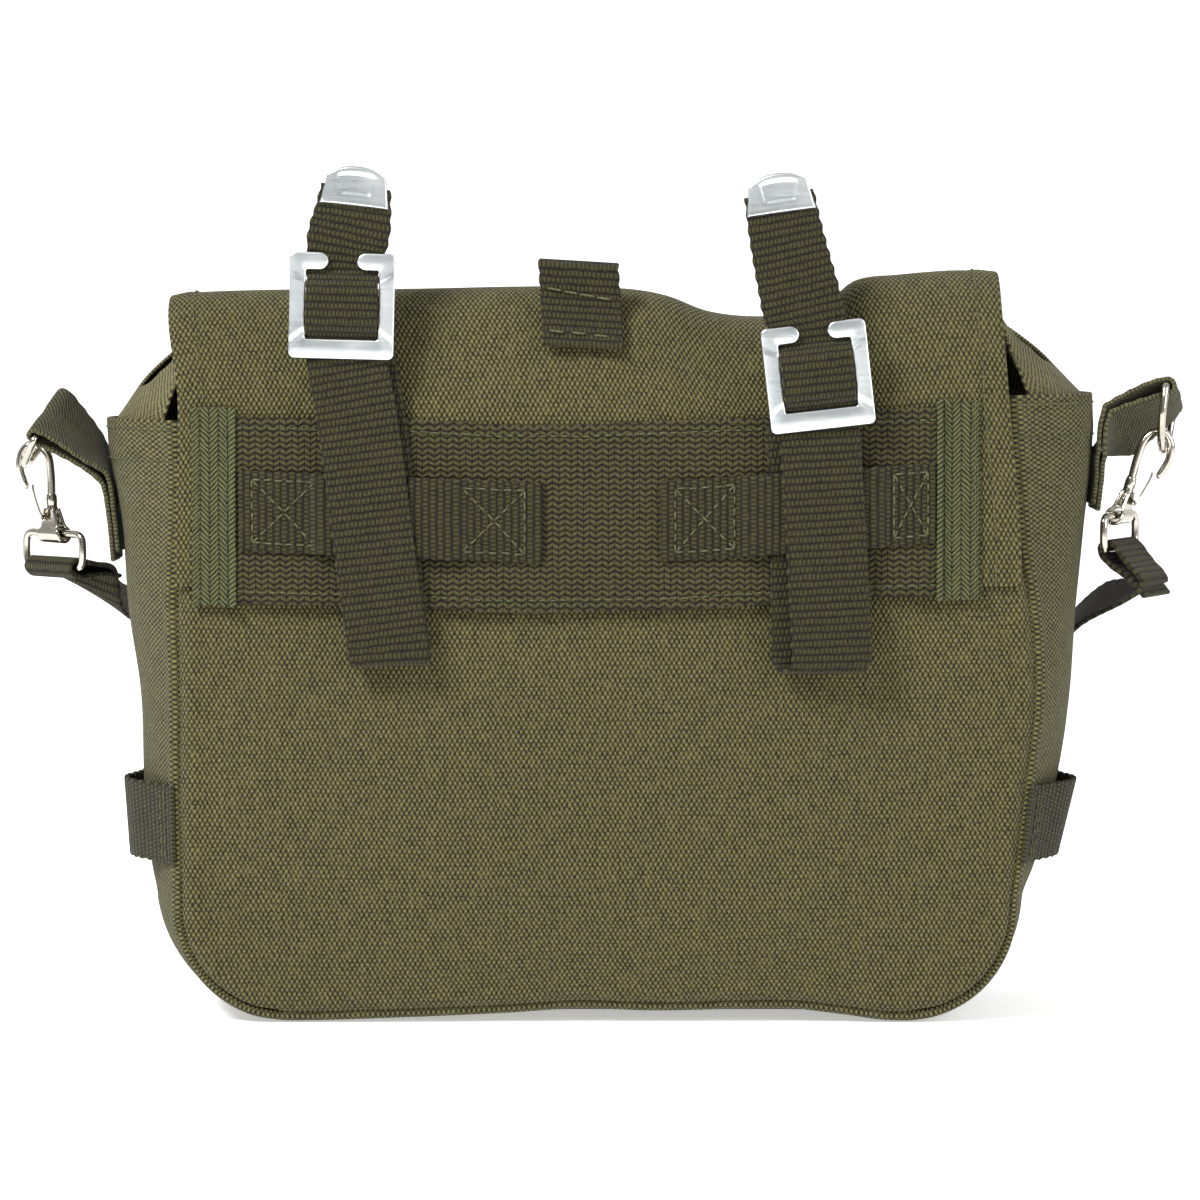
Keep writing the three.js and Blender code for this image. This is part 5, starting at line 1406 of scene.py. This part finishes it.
def buckle_paths():
    """The C's outer and inner edges from the right prong's tip round to the left one's, as (x, z)."""
    w, h = BUCKLE["width"] / 2, BUCKLE["height"] / 2
    bar, foot, prong, c = BUCKLE["bar"], BUCKLE["foot"], BUCKLE["prong"], BUCKLE["corner"]
    tip = BUCKLE["mouth"] / 2 + prong / 2
    inner_x, inner_z = w - bar, h - prong
    nose = (tip, h - prong / 2)
    outer = [arc(nose, prong / 2, 176, 92, 10), line((tip + 0.5, h), (w - c - 0.5, h), 12)]
    inner = [arc(nose, prong / 2, 184, 268, 10), line((tip + 0.5, inner_z), (inner_x - 1.2, inner_z), 12)]
    outer += [arc((w - c, h - c), c, 90, 0, 9), line((w, h - c - 1), (w, -h + c + 1), 40)]
    inner += [arc((inner_x - 0.8, inner_z - 0.8), 0.8, 90, 0, 9)]
    inner += [line((inner_x, inner_z - 1.4), (inner_x, -h + foot + 1.4), 40)]
    outer += [arc((w - c, -h + c), c, 0, -90, 9), line((w - c - 0.5, -h), (0, -h), 16)]
    inner += [arc((inner_x - 0.8, -h + foot + 0.8), 0.8, 0, -90, 9)]
    inner += [line((inner_x - 1.2, -h + foot), (0, -h + foot), 16)]
    outer, inner = np.concatenate(outer), np.concatenate(inner)
    mirror = np.array([-1, 1])
    return np.concatenate([outer, outer[-2::-1] * mirror]), np.concatenate([inner, inner[-2::-1] * mirror])


def make_buckle(side):
    """The C's side bars stand a little proud of its ends, with a crease at each step."""
    centre, across, up_way = buckle_frame(side)
    outwards = np.array([0, -1.0, 0])
    outer, inner = buckle_paths()
    h = BUCKLE["height"] / 2
    middle_z = (outer[:, 1] + inner[:, 1]) / 2
    proud = 0.28 * smoothstep(h - 7.2, h - 8.6, np.abs(middle_z))

    def place(flat, out):
        return centre + flat[:, :1] * across + flat[:, 1:] * up_way + outwards * np.reshape(out, (-1, 1))

    sheet_middle = BUCKLE["sheet"] / 2
    rings = bar_rings(place(inner, sheet_middle + proud), place(outer, sheet_middle + proud), outwards, 1.8)
    frame_piece = rings_mesh("buckle_" + side, rings[::-1], aluminium)
    half = (BUCKLE["width"] - BUCKLE["bar"]) / 2
    low, high = line((half, -1.3), (-half, -1.3), 24), line((half, 1.3), (-half, 1.3), 24)
    behind = sheet_middle - BUCKLE["step"]
    rings = bar_rings(place(low, behind), place(high, behind), outwards, 1.8)
    bar_piece = rings_mesh("buckle_bar_" + side, rings[::-1], aluminium)
    buckle = join("buckle_" + side, [frame_piece, bar_piece])
    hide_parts("strap_buckle_" + side)
    return buckle


buckles = {side: make_buckle(side) for side in SIGN}
print("buckle", BUCKLE["width"], "by", BUCKLE["height"], "mm")

# %% [markdown]
# ## Strap ends
#
# A strap end is thin aluminium folded over the webbing and pressed: an arched outline with a sunk
# trapezoid in its face. It is one grid whose two faces stand apart by a rounded height, and the
# press mark is a smooth step in that height.

# %% Pressed metal with two faces
def pressed(name, middle, normal, front, rear, finish, body="bag"):
    """Two faces of one grid, front and rear millimetres to either side of it, joined at the rim."""
    rows_here, columns = middle.shape[:2]
    count = rows_here * columns
    top = (middle + np.asarray(normal) * front[..., None]).reshape(-1, 3)
    low = (middle - np.asarray(normal) * rear[..., None]).reshape(-1, 3)
    index = np.arange(count).reshape(rows_here, columns)
    border = np.concatenate([index[0, :-1], index[:-1, -1], index[-1, :0:-1], index[:0:-1, 0]])
    ahead = np.roll(border, -1)
    rim = np.stack([border, border + count, ahead + count, ahead], -1)
    top_faces = grid_quads(rows_here, columns)
    low_faces = grid_quads(rows_here, columns, start=count)[:, ::-1]
    faces = np.concatenate([top_faces, low_faces, rim])
    return build(name, np.concatenate([top, low]), [faces], None, finish, body)


def make_tip(side):
    """Width falls from foot to shoulder, the crest is an arch, and the edges are quarter-round."""
    s = STRAPS[side]
    end, across, _ = strap_station(side, HEIGHT * s["top"], BUCKLE_OUT - GAP - WEBBING / 2)
    up_way = np.array([-across[2], 0, across[0]])
    thick = WEBBING + 2 * (GAP + TIP["sheet"])
    ease = lambda t: np.sin((t - 0.5) * np.pi) / 2 + 0.5
    u, v = np.meshgrid(ease(np.linspace(0, 1, 45)) * 2 - 1, ease(np.linspace(0, 1, 37)))
    half = TIP["width"] / 2
    crest = TIP["height"] - TIP["grip"]
    shoulder = 0.72 * TIP["height"] - TIP["grip"]
    top = shoulder + (crest - shoulder) * (1 - np.abs(u) ** 2.4)
    x = half * u * lerp(1, 0.86, v)
    z = lerp(-TIP["grip"], top, v)
    to_side = (1 - np.abs(u)) * half
    to_end = np.minimum(v, 1 - v) * TIP["height"]
    inside = np.minimum(to_side, to_end)
    rounded = np.sqrt(np.maximum(0.02, 1 - (1 - np.clip(inside / 0.9, 0, 1)) ** 2))
    sunk_side = smoothstep(0.9, 0, (np.abs(u) - lerp(0.38, 0.62, v)) * half + 0.45)
    sunk_end = smoothstep(0.26, 0.36, v) * smoothstep(0.84, 0.79, v)
    lip = 0.15 * smoothstep(0.0, 0.06, v) * smoothstep(0.14, 0.06, v)
    front = thick / 2 * rounded - 0.4 * sunk_side * sunk_end + lip
    grid = end + x[..., None] * across + z[..., None] * up_way
    piece = pressed("strap_end_" + side, grid, (0, -1.0, 0), front, thick / 2 * rounded, aluminium)
    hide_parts("strap_tip_" + side)
    return piece


tips = {side: make_tip(side) for side in SIGN}
print("strap ends", round(TIP["width"], 1), "mm wide")

# %% [markdown]
# ## Tabs and carry loops
#
# A short folded tab stands on the ridge, sewn through at its lower end. Low on each gusset a webbing
# loop is sewn down at both ends, and higher up a folded tab holds a D-ring. Each is the same smooth
# strap with its own stations.

# %% Top tab
TAB_LENGTH = 27.0
TAB_ACROSS = -0.028
profile_u = np.full((1, 200), TAB_ACROSS * HALF / WIDTH + 0.5)
profile_v = np.linspace(0, 0.42, 200)[None]
profile = flap_surface(profile_u, profile_v, np.full((1, 200), CLOTH_GAP + CANVAS))[0]


def tab_station(drop, out, lean=0.06):
    """A place on the tab: drop below its top, out in front of the flap's own profile."""
    z = HEIGHT * 1.035 - drop
    face = np.interp(min(z, HEIGHT * 0.97), profile[:, 2], profile[:, 1])
    return np.array([TAB_ACROSS * HALF + lean * drop, face - out, z]), unit(np.array([1, 0, -lean])), 1.0


TAB_NEAR = CLOTH_GAP + GAP + WEBBING / 2
TAB_FAR = TAB_NEAR + WEBBING + GAP
TAB = {
    "drop": [25, 0.7 * TAB_LENGTH, 0.45 * TAB_LENGTH, 0.2 * TAB_LENGTH, 1.2, 0]
    + [1.2, 0.2 * TAB_LENGTH, 0.45 * TAB_LENGTH, 0.7 * TAB_LENGTH, TAB_LENGTH],
    "out": [TAB_NEAR, TAB_NEAR, TAB_NEAR + 0.1, TAB_NEAR + 0.2, TAB_NEAR + 0.3]
    + [(TAB_NEAR + TAB_FAR) / 2 + 0.4, TAB_FAR + 1.2, TAB_FAR + 0.9, TAB_FAR + 0.3, TAB_FAR, TAB_FAR],
}
top_tab, tab_length = webbing(
    "ridge_tab", [tab_station(drop, out) for drop, out in zip(*TAB.values())], strap_webbing
)
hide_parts("top_tab")
lines = []
for drop_a, drop_b in ((9.0, 10.2), (22.5, 22.2)):
    (a, across, _), (b, _, _) = tab_station(drop_a, TAB_FAR + 1.75), tab_station(drop_b, TAB_FAR + 1.0)
    way = line(a - across * 10.5, b + across * 10.0 + (0, 0, -1.2), 30)
    lines.append((way, np.tile([0, -1.0, 0], (30, 1))))
tab_stitches = stitches("tab_stitches", lines, olive_thread, length=4.6, gap=0.8, radius=0.38)
print("top tab", round(tab_length), "mm of webbing")


# %% Side tabs
def on_gusset(side, z, t, out):
    """The gusset's outer face at height z, t from -1 at the back seam to 1, stood off by out."""
    bulge = side_bulge(side, z) * (1 - t**2)
    return points(seam_x(side, z) + SIGN[side] * (bulge + out), t * DEPTH / 2, z)


SIDE_TAB_STAND = 5.0
SIDE_TAB_UP = HEIGHT * 0.272
SIDE_TAB = {
    "t": [-0.98, -0.86, -0.72, -0.52, -0.34, -0.16, 0.02, 0.14, 0.34],
    "stand": [0, 0, 0.3, 0.9, 1, 0.75, 0.18, 0.02, 0.02],
}


def side_tab_station(side, t, out):
    """A station whose width joins the gusset's face below and above the tab's middle."""
    z = SIDE_TAB_UP
    lower = on_gusset(side, z - STRAP_WIDTH / 2, t, out)
    upper = on_gusset(side, z + STRAP_WIDTH / 2, t, out)
    return (lower + upper) / 2, unit(upper - lower) * SIGN[side], 1.0


side_tabs, lines = {}, []
for side in SIGN:
    near = CLOTH_GAP + WEBBING / 2
    places = zip(*SIDE_TAB.values())
    rows_here = [side_tab_station(side, t, near + SIDE_TAB_STAND * stand) for t, stand in places]
    side_tabs[side], _ = webbing("side_tab_webbing_" + side, rows_here, strap_webbing)
    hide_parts("side_tab_" + side)
    for t in (-0.9, -0.84, 0.12, 0.28):
        z = SIDE_TAB_UP + np.linspace(-11.2, 11.2, 30)
        at_t = np.full(30, t)
        face = on_gusset(side, z, at_t, near + WEBBING / 2 + 0.05)
        aside = on_gusset(side, z, at_t + 0.01, near) - on_gusset(side, z, at_t - 0.01, near)
        upwards = np.gradient(face, axis=0)
        lines.append((face, unit(np.cross(aside, upwards)) * SIGN[side]))
side_tab_stitches = stitches("side_tab_stitches", lines, olive_thread, length=2.8, gap=0.9, radius=0.3)
print("side tabs stand", SIDE_TAB_STAND, "mm off the gusset")

# %% [markdown]
# ## D-rings and their loops
#
# A carry loop is folded over the D-ring's straight bar and both ends are sewn on the gusset. The
# loop keeps the crease of long use down its middle. A D-ring is one bent wire, welded where the
# loop hides it: a straight bar, two tight corners and a half oval.

# %% The side hardware, with levels as shares of HEIGHT
HARDWARE = {
    "left": {
        "loop_low": 0.625,
        "loop_high": 0.75,
        "bar_up": 0.822,
        "reach": 20.5,
        "lean": 5,
        "bar": [0.3, 0.8, 0.52],
        "bow": [-0.34, 0.6, -0.66],
        "seat": [0.85, 0.46],
        "ring_turn": -42,
        "dip": 12,
        "leaves": 1,
        "twist": 0.0,
    },
    "right": {
        "loop_low": 0.695,
        "loop_high": 0.78,
        "bar_up": 0.85,
        "reach": 26.3,
        "lean": 19,
        "bar": [0.2, 0.93, -0.3],
        "bow": [-0.1, 0, -1],
        "seat": [0.8, 0.66],
        "ring_turn": 62,
        "dip": 50,
        "leaves": -1,
        "twist": 0.8,
    },
}
D_WIRE, D_INNER, D_DROP, D_CORNER = 2.6, STRAP_WIDTH + 1, 19.0, 2.5


def d_ring_frame(side):
    """The middle of the D's straight bar, the bar's direction and the direction of its round end."""
    hardware = HARDWARE[side]
    bar = unit(np.array(hardware["bar"], float))
    towards = np.array(hardware["bow"], float)
    bow = unit(towards - bar * (towards @ bar))
    anchor = on_gusset(side, HEIGHT * hardware["loop_high"], 0, hardware["reach"])
    return np.array([anchor[0], -bow[1] * D_DROP * 0.4, HEIGHT * hardware["bar_up"]]), bar, bow


def closed_way(knots, per):
    """The smooth curve through knots that comes back to the first."""
    p = np.asarray(knots, float)
    way = smooth_way(np.vstack([p[-1:], p, p[:2]]), per)
    return way[per : per * (len(p) + 1)]


# %% D-rings
for side in SIGN:
    middle, bar, bow = d_ring_frame(side)
    half, c = (D_INNER + D_WIRE) / 2, D_CORNER
    angle = np.linspace(0, np.pi, 9)
    legs = 2 * c
    a = [-half + c, 0, half - c, half - 0.2 * c, half, *(half * np.cos(angle)), -half, -half + 0.2 * c]
    b = [0, 0, 0, 0.3 * c, 1.2 * c, *(legs + (D_DROP - legs) * np.sin(angle)), 1.2 * c, 0.3 * c]
    knots = middle + np.outer(a, bar) + np.outer(b, bow)
    way = closed_way(knots, 8)
    rings = wire_rings(way, D_WIRE / 2, np.cross(bar, bow), sides=18, closed=True)
    rings_mesh("d_ring_wire_" + side, rings, nickel, closed=True)
    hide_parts("d_ring_" + side)
print("D-rings", D_INNER, "mm inside")


# %% Carry loops
def carry_stations(side):
    """One sewn end, a half circle round the D-ring's bar and the other end, turned by the twist."""
    hardware = HARDWARE[side]
    middle, bar, _ = d_ring_frame(side)
    low, high = HEIGHT * hardware["loop_low"], HEIGHT * hardware["loop_high"]
    near = GAP + WEBBING / 2
    upper = near + WEBBING + GAP
    level = np.array([0, np.sign(bar[1]), 0])
    half = unit(lerp(level, bar, 0.5) + hardware["twist"] * np.array([SIGN[side] * 0.6, 0, -0.8]))
    radius = D_WIRE / 2 + GAP + 0.25 + WEBBING / 2
    root = on_gusset(side, high, 0, near)
    to_bar = unit(middle - root)
    up = unit(np.cross(bar, to_bar))
    up = up if up[2] > 0 else -up

    def around(angle):
        """On a circle round the bar."""
        return middle + to_bar * radius * np.sin(angle) - up * radius * np.cos(angle), bar, 1.0

    def between(share, lift):
        return lerp(root, middle, share) + up * lift, half, 1.0

    def sewn(z, out):
        """Flat on the gusset's middle line."""
        return on_gusset(side, z, 0, out), level, 1.0

    return [
        sewn(low, upper),
        sewn(lerp(low, high, 0.5), upper),
        sewn(lerp(low, high, 0.85), upper + 0.4),
        between(0.35, -1.4),
        *(around(angle) for angle in np.linspace(0, np.pi, 5)),
        between(0.35, 1.6),
        sewn(lerp(low, high, 0.95), near + 0.2),
        sewn(lerp(low, high, 0.5), near),
        sewn(lerp(low, high, 0.1), near),
    ]


carry_loops = {}
for side in SIGN:
    carry_loops[side], _ = webbing(
        "carry_loop_webbing_" + side, carry_stations(side), loop_webbing, crease=0.35
    )
    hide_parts("carry_loop_" + side)
print("carry loops", [len(piece.data.polygons) for piece in carry_loops.values()])

# %% [markdown]
# ## Snap hooks
#
# A snap hook is a thick nickel wire, bent to a hook and tapered at its nose. Its shank ends in a
# crimped sleeve, and under that a strip of sheet is folded round the strap ring's bar. A sprung
# tongue shuts the mouth: it turns on a small curl beside the sleeve, and it rides its own body.

# %% Hook places
HOOK = {"wire": 2.8, "reach": 31, "mouth": 9.4, "barrel": 9.5, "barrel_radius": 3.6}
HOOK.update({"sleeve": 3.8, "sleeve_length": 11, "nose_end": 0.82})
GATE = {"length": 11.8, "width": 4, "sheet": 0.9}
RING = {"inner": STRAP_WIDTH + 0.4, "drop": 8.6, "wire": 2.6, "corner": 3}
LEVEL = np.array([0, 1.0, 0])


def hook_frame(side):
    """The barrel's middle, the way up the shank and the way from the shank to the nose."""
    lean = np.radians(HARDWARE[side]["lean"])
    up = np.array([SIGN[side] * np.sin(lean), 0, np.cos(lean)])
    nose = np.array([SIGN[side] * np.cos(lean), 0, -np.sin(lean)])
    middle, _, bow = d_ring_frame(side)
    seat = HARDWARE[side]["seat"]
    return middle + bow * D_DROP - up * HOOK["reach"] * seat[0] - nose * HOOK["mouth"] * seat[1], up, nose


def ring_along(side):
    """The level direction of a strap ring's bars, turned by ring_turn from +X."""
    turn = np.radians(HARDWARE[side]["ring_turn"])
    return np.array([np.cos(turn), np.sin(turn), 0])


# %% Hooks
HOOK_WAY = {
    "up": [0.116, 0.4, 0.64, 0.84, 0.955, 0.985, 0.91, 0.75, 0.6, 0.5],
    "aside": [0, -0.03, -0.08, -0.04, 0.18, 0.5, 0.85, 1, 0.92, 0.82],
}

# The folded strip's radius round the ring's bar, and the turn in radians at which it is narrowest
YOKE_ROUND, YOKE_TURN = 2.75, 2.44


def make_hook(side):
    """Wire along the table's way, a crimped sleeve, and a strip bent round the strap ring's bar."""
    middle, up, nose = hook_frame(side)
    m, r = HOOK["mouth"], HOOK["reach"]
    along_bar = ring_along(side)
    ups, asides = np.array(HOOK_WAY["up"]) * r, np.array(HOOK_WAY["aside"]) * m
    way = smooth_way(middle + np.outer(ups, up) + np.outer(asides, nose), 14)
    thin = np.interp(np.linspace(0, 1, len(way)), [0, 0.7, 0.92, 1], [1, 1, 0.92, 0.8])
    radius = round_ends(way, HOOK["wire"] / 2) * thin
    parts = [rings_mesh("hook_wire_" + side, wire_rings(way, radius, LEVEL, sides=18), nickel)]
    foot, long = HOOK["barrel_radius"] * 0.75, HOOK["sleeve_length"]
    share_up = np.linspace(0, 1, 60)
    pinches = 0.1 * bump(share_up, 0.35, 0.07) + 0.07 * bump(share_up, 0.62, 0.06)
    crimp = 1 - pinches - 0.12 * smoothstep(0.8, 1, share_up)
    ends = np.sqrt(np.clip(np.minimum(share_up, 1 - share_up) * long / 0.6, 0.05, 1))
    way = middle + np.outer(foot + share_up * long, up) + np.outer(share_up * -0.03 * m, nose)
    rings = wire_rings(way, HOOK["sleeve"] / 2 * crimp * ends, LEVEL, sides=20)
    parts.append(rings_mesh("hook_sleeve_" + side, rings, nickel))
    front = unit(np.cross(along_bar, up))
    leaf = [(8.2, 1.3, 0.42), (5.4, 1.35, 0.6)]
    rows_here = [(middle + up * rise - front * stand, along_bar, share) for rise, stand, share in leaf]
    for turn in np.radians(np.linspace(-140, 140, 13)):
        place = middle + front * YOKE_ROUND * np.sin(turn) - up * YOKE_ROUND * np.cos(turn)
        rows_here.append((place, along_bar, 1 - 0.22 * abs(turn / YOKE_TURN) ** 4))
    rows_here += [(middle + up * rise + front * stand, along_bar, share) for rise, stand, share in leaf[::-1]]
    wide = HOOK["barrel"] + 0.6
    yoke, _ = webbing("hook_yoke_" + side, rows_here, nickel, wide, thick=1.1, step=0.4, edge=0)
    hook = join("hook_" + side, parts + [yoke])
    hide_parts("snap_hook_" + side)
    return hook


hooks = {side: make_hook(side) for side in SIGN}


# %% Sprung levers
def make_lever(side):
    """A tongue that starts in a small roll on the hinge and runs up to the nose."""
    middle, up, nose = hook_frame(side)
    foot = HOOK["barrel_radius"] + 1.6
    at = lambda a, b: middle + up * a + nose * b
    pivot = at(foot, HOOK["sleeve"] / 2 + GAP + 0.9)
    nose_face = HOOK["mouth"] * HOOK["nose_end"] - HOOK["wire"] / 2
    end = at(foot + GATE["length"], nose_face - GAP - GATE["sheet"] / 2)
    roll = 0.55
    turn = np.radians(np.linspace(-200, 60, 9))
    rows_here = [(pivot + nose * roll * np.cos(a) + up * roll * np.sin(a), LEVEL, 1.0) for a in turn]
    for t in (0.2, 0.5, 0.8):
        bow = nose * (0.3 + 0.25 * np.sin(t * np.pi))
        rows_here.append((lerp(pivot, end, t) + bow, LEVEL, 1 - 0.18 * t))
    rows_here.append((end, LEVEL, 0.8))
    body = "gate_" + side
    lever, _ = webbing(
        "lever_" + side, rows_here, nickel, GATE["width"], thick=0.7, step=0.3, edge=0, body=body
    )
    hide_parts("hook_gate_" + side)
    return lever


levers = {side: make_lever(side) for side in SIGN}
print("hooks and levers:", [len(piece.data.polygons) for piece in (*hooks.values(), *levers.values())])

# %% Strap rings
for side in SIGN:
    middle, along_bar = hook_frame(side)[0], ring_along(side)
    half, drop, c = (RING["inner"] + RING["wire"]) / 2, RING["drop"] + RING["wire"], RING["corner"]
    centres = [(half - c, c, -90), (half - c, drop - c, 0), (-half + c, drop - c, 90), (-half + c, c, 180)]
    flat = np.concatenate([arc((a, b), c, start, start + 90, 4) for a, b, start in centres])
    straight = half - 2 * c
    flat = np.insert(flat, 8, [(straight, drop), (0, drop), (-straight, drop)], axis=0)
    flat = np.concatenate([flat, [(-straight, 0), (0, 0), (straight, 0)]])
    way = closed_way(middle + flat[:, :1] * along_bar - flat[:, 1:] * np.array([0, 0, 1.0]), 8)
    rings = wire_rings(way, RING["wire"] / 2, np.cross(along_bar, [0, 0, 1.0]), sides=18, closed=True)
    rings_mesh("strap_ring_wire_" + side, rings, nickel, closed=True)
    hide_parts("strap_ring_" + side)
print("strap rings", round(RING["inner"], 1), "mm inside")

# %% [markdown]
# ## The shoulder strap
#
# One strap joins the two rings. In the photograph only its ends show, and the rest is behind the
# bag, so it lies there on the ground in one wide bend, on its edge where it turns. Each end passes
# round its ring and is sewn back on itself.

# %% Shoulder strap
TRAIL = 235.0
TRAIL_WAY = {
    "across": [-1.26, -1.2, -1.1, -0.99, -0.9, -0.78, -0.55, -0.25, 0.1, 0.42, 0.7, 0.88, 1.0, 1.09]
    + [1.18, 1.26],
    "back": [0.1, 0.22, 0.34, 0.47, 0.6, 0.75, 0.9, 0.98, 1, 0.95, 0.82, 0.66, 0.5, 0.36, 0.22, 0.1],
    "up": [0.577, 0.55, 0.47, 0.33, 0.17, 0.077, 0.0565, 0.0545, 0.0545, 0.0545, 0.057, 0.09, 0.2, 0.35]
    + [0.47, 0.55],
    "tilt": [22, 48, 66, 80, 88, 90, 90, 90, 90, 90, 90, 88, 82, 72, 60, 45],
}
UP = np.array([0, 0, 1.0])


def ring_wrap(side):
    """A strap's end round the ring's lower bar and back along itself."""
    middle, along_bar = hook_frame(side)[0], ring_along(side)
    hardware = HARDWARE[side]
    bar = middle - UP * (RING["drop"] + RING["wire"])
    level = np.array([-along_bar[1], along_bar[0], 0]) * hardware["leaves"]
    dip = np.radians(hardware["dip"])
    away = level * np.cos(dip) - UP * np.sin(dip)
    over = unit(np.cross(away, along_bar))
    over = over if over[2] > 0 else -over
    reach = RING["wire"] / 2 + CLOTH_GAP + WEBBING / 2
    tail = reach - WEBBING - 2 * GAP
    outs = [20, 12, reach + 2, 0, -0.7 * reach, -reach, -0.7 * reach, 0, reach + 5, 16]
    rises = [tail, tail - 0.8, -0.85 * reach, -reach, -0.7 * reach, 0, 0.7 * reach, reach, reach, reach]
    return [(bar + away * out + over * rise, along_bar, 0.9) for out, rise in zip(outs, rises)]


def strap_route():
    """The trailing stations: the width turns from level to upright by each row's tilt."""
    x = HALF * np.array(TRAIL_WAY["across"])
    way = points(x, TRAIL * np.array(TRAIL_WAY["back"]), HEIGHT * np.array(TRAIL_WAY["up"]))
    ahead = np.vstack([way[1:], way[-1:]]) - np.vstack([way[:1], way[:-1]])
    ahead = unit(ahead)
    level = -unit(np.cross(UP, ahead))
    rise = -unit(np.cross(level, ahead))
    tilt = np.radians(TRAIL_WAY["tilt"])[:, None]
    across = level * np.cos(tilt) + rise * np.sin(tilt)
    return [(at, width, 1.0) for at, width in zip(way, across)]


right_end = [(at, -across, squeeze) for at, across, squeeze in reversed(ring_wrap("right"))]
shoulder_strap, strap_length = webbing(
    "shoulder_webbing", ring_wrap("left") + strap_route() + right_end, strap_webbing
)
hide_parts("shoulder_strap")
print("shoulder strap", round(strap_length), "mm of webbing")

# %% [markdown]
# ## The flat size of each sheet
#
# Each cloth is one sheet, cut flat before it was sewn. Its flat size is measured from the sheet's
# own middle surface, so it is true to what was made.

# %% Sheets and their flat sizes
SHEETS = [
    (back_panel, "stretched", ["gusset_cloth"]),
    (front_panel, "stretched", ["gusset_cloth"]),
    (gusset, "stretched", ["back_panel_cloth"]),
    (flap, "draped", ["back_panel_cloth", "front_panel_cloth"]),
    (band, "stretched", ["flap_cloth"]),
    (top_tab, "folded", ["flap_cloth"]),
    (shoulder_strap, "hung", ["strap_ring_wire_left", "strap_ring_wire_right"]),
]
for side in SIGN:
    SHEETS += [
        (ears[side], "folded", ["gusset_cloth"]),
        (tapes[side], "stretched", ["flap_cloth"]),
        (belt_loops[side], "stretched", ["band_webbing"]),
        (strap_pieces[side], "folded", ["band_webbing"]),
        (side_tabs[side], "folded", ["gusset_cloth"]),
        (carry_loops[side], "folded", ["gusset_cloth"]),
    ]
for piece, held, rests_on in SHEETS:
    wide, long, area = piece["cut"]
    min(area, wide * long)
    print(piece.name, "cut", round(wide * 1000), "by", round(long * 1000), "mm")

shown = [piece.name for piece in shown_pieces()]
print(len(shown), "pieces shown")

# %% [markdown]
# ## Ground and light
#
# The photograph is a cut-out on white with soft light from above and in front. A pale floor curves
# up far behind the bag, a soft light hangs over the camera's left, and a weaker, wider one fills
# the right side.

# %% Floor
FLOOR_RISE, FLOOR_SIDE = 2.6, 4.0
t = np.linspace(0, 1, 49)
bend = np.clip((t - 0.45) / 0.3, 0, 1) * np.pi / 2
flat_run = np.minimum(t / 0.45, 1) * 4.4 - 2.4
floor_y = flat_run + np.sin(bend) * 1.2
floor_z = (1 - np.cos(bend)) * 1.2 + np.clip((t - 0.75) / 0.25, 0, 1) * FLOOR_RISE
side_share = np.linspace(-FLOOR_SIDE, FLOOR_SIDE, 3)
floor_grid = points(side_share[None] + 0 * floor_y[:, None], floor_y[:, None], floor_z[:, None]) / MM
floor_paint = Finish("white_ground")
floor_paint.set(Base_Color=(0.93, 0.93, 0.93, 1), Roughness=0.9)
floor_paint.set(Emission_Color=(1, 1, 1, 1), Emission_Strength=0.45)
floor = build("ground", floor_grid, [grid_quads(*floor_grid.shape[:2])], None, floor_paint.material)


# %% Lights
def soft_light(name, place, size, power, colour=(1, 1, 1)):
    """A square area light at a place in metres, turned to the bag's middle."""
    lamp = bpy.data.objects.new(name, bpy.data.lights.new(name, "AREA"))
    lamp.data.size, lamp.data.energy, lamp.data.color = size, power, colour
    lamp.location = place
    aim_at = np.array([0, 0, 0.12]) - np.array(place)
    flat = np.hypot(aim_at[0], aim_at[1])
    lamp.rotation_euler = (np.arctan2(flat, -aim_at[2]), 0, np.arctan2(-aim_at[0], aim_at[1]))
    bpy.context.collection.objects.link(lamp)


soft_light("key", (-1.0, -1.2, 1.6), 0.6, 62)
soft_light("fill", (1.5, -1.0, 0.8), 1.2, 20)

# %% [markdown]
# Glossy wire shows what stands round it. A studio hangs two dark flags beside the camera so that
# bright metal gets dark streaks, and the camera's own place is a little dim. The world here is a
# white sky with those three dimmer patches, worked out from the direction alone.

# %% World
world = bpy.data.worlds.new("studio")
bpy.context.scene.world = world
world.use_nodes = True
sky = Nodes(world.node_tree)
direction = sky.node("TexCoord")
east, north, high = (sky.node("SeparateXYZ", inputs={"Vector": direction}, output=k) for k in range(3))
front = (north * -1.0).between(0.1, 0.5)
low = high.between(0.95, 0.6) * high.between(-0.5, -0.2)
flags = (east.abs() - 0.6).abs().between(0.26, 0.1) * front * low
dim = east.abs().between(0.3, 0.1) * front * high.between(0.5, 0.2)
level = 0.52 - flags * 0.48 - dim * 0.25
background = sky.tree.nodes["Background"]
background.inputs["Color"].default_value = (1, 1, 1, 1)
sky.tree.links.new(level.socket, background.inputs["Strength"])
bpy.context.scene.view_settings.view_transform = "Standard"
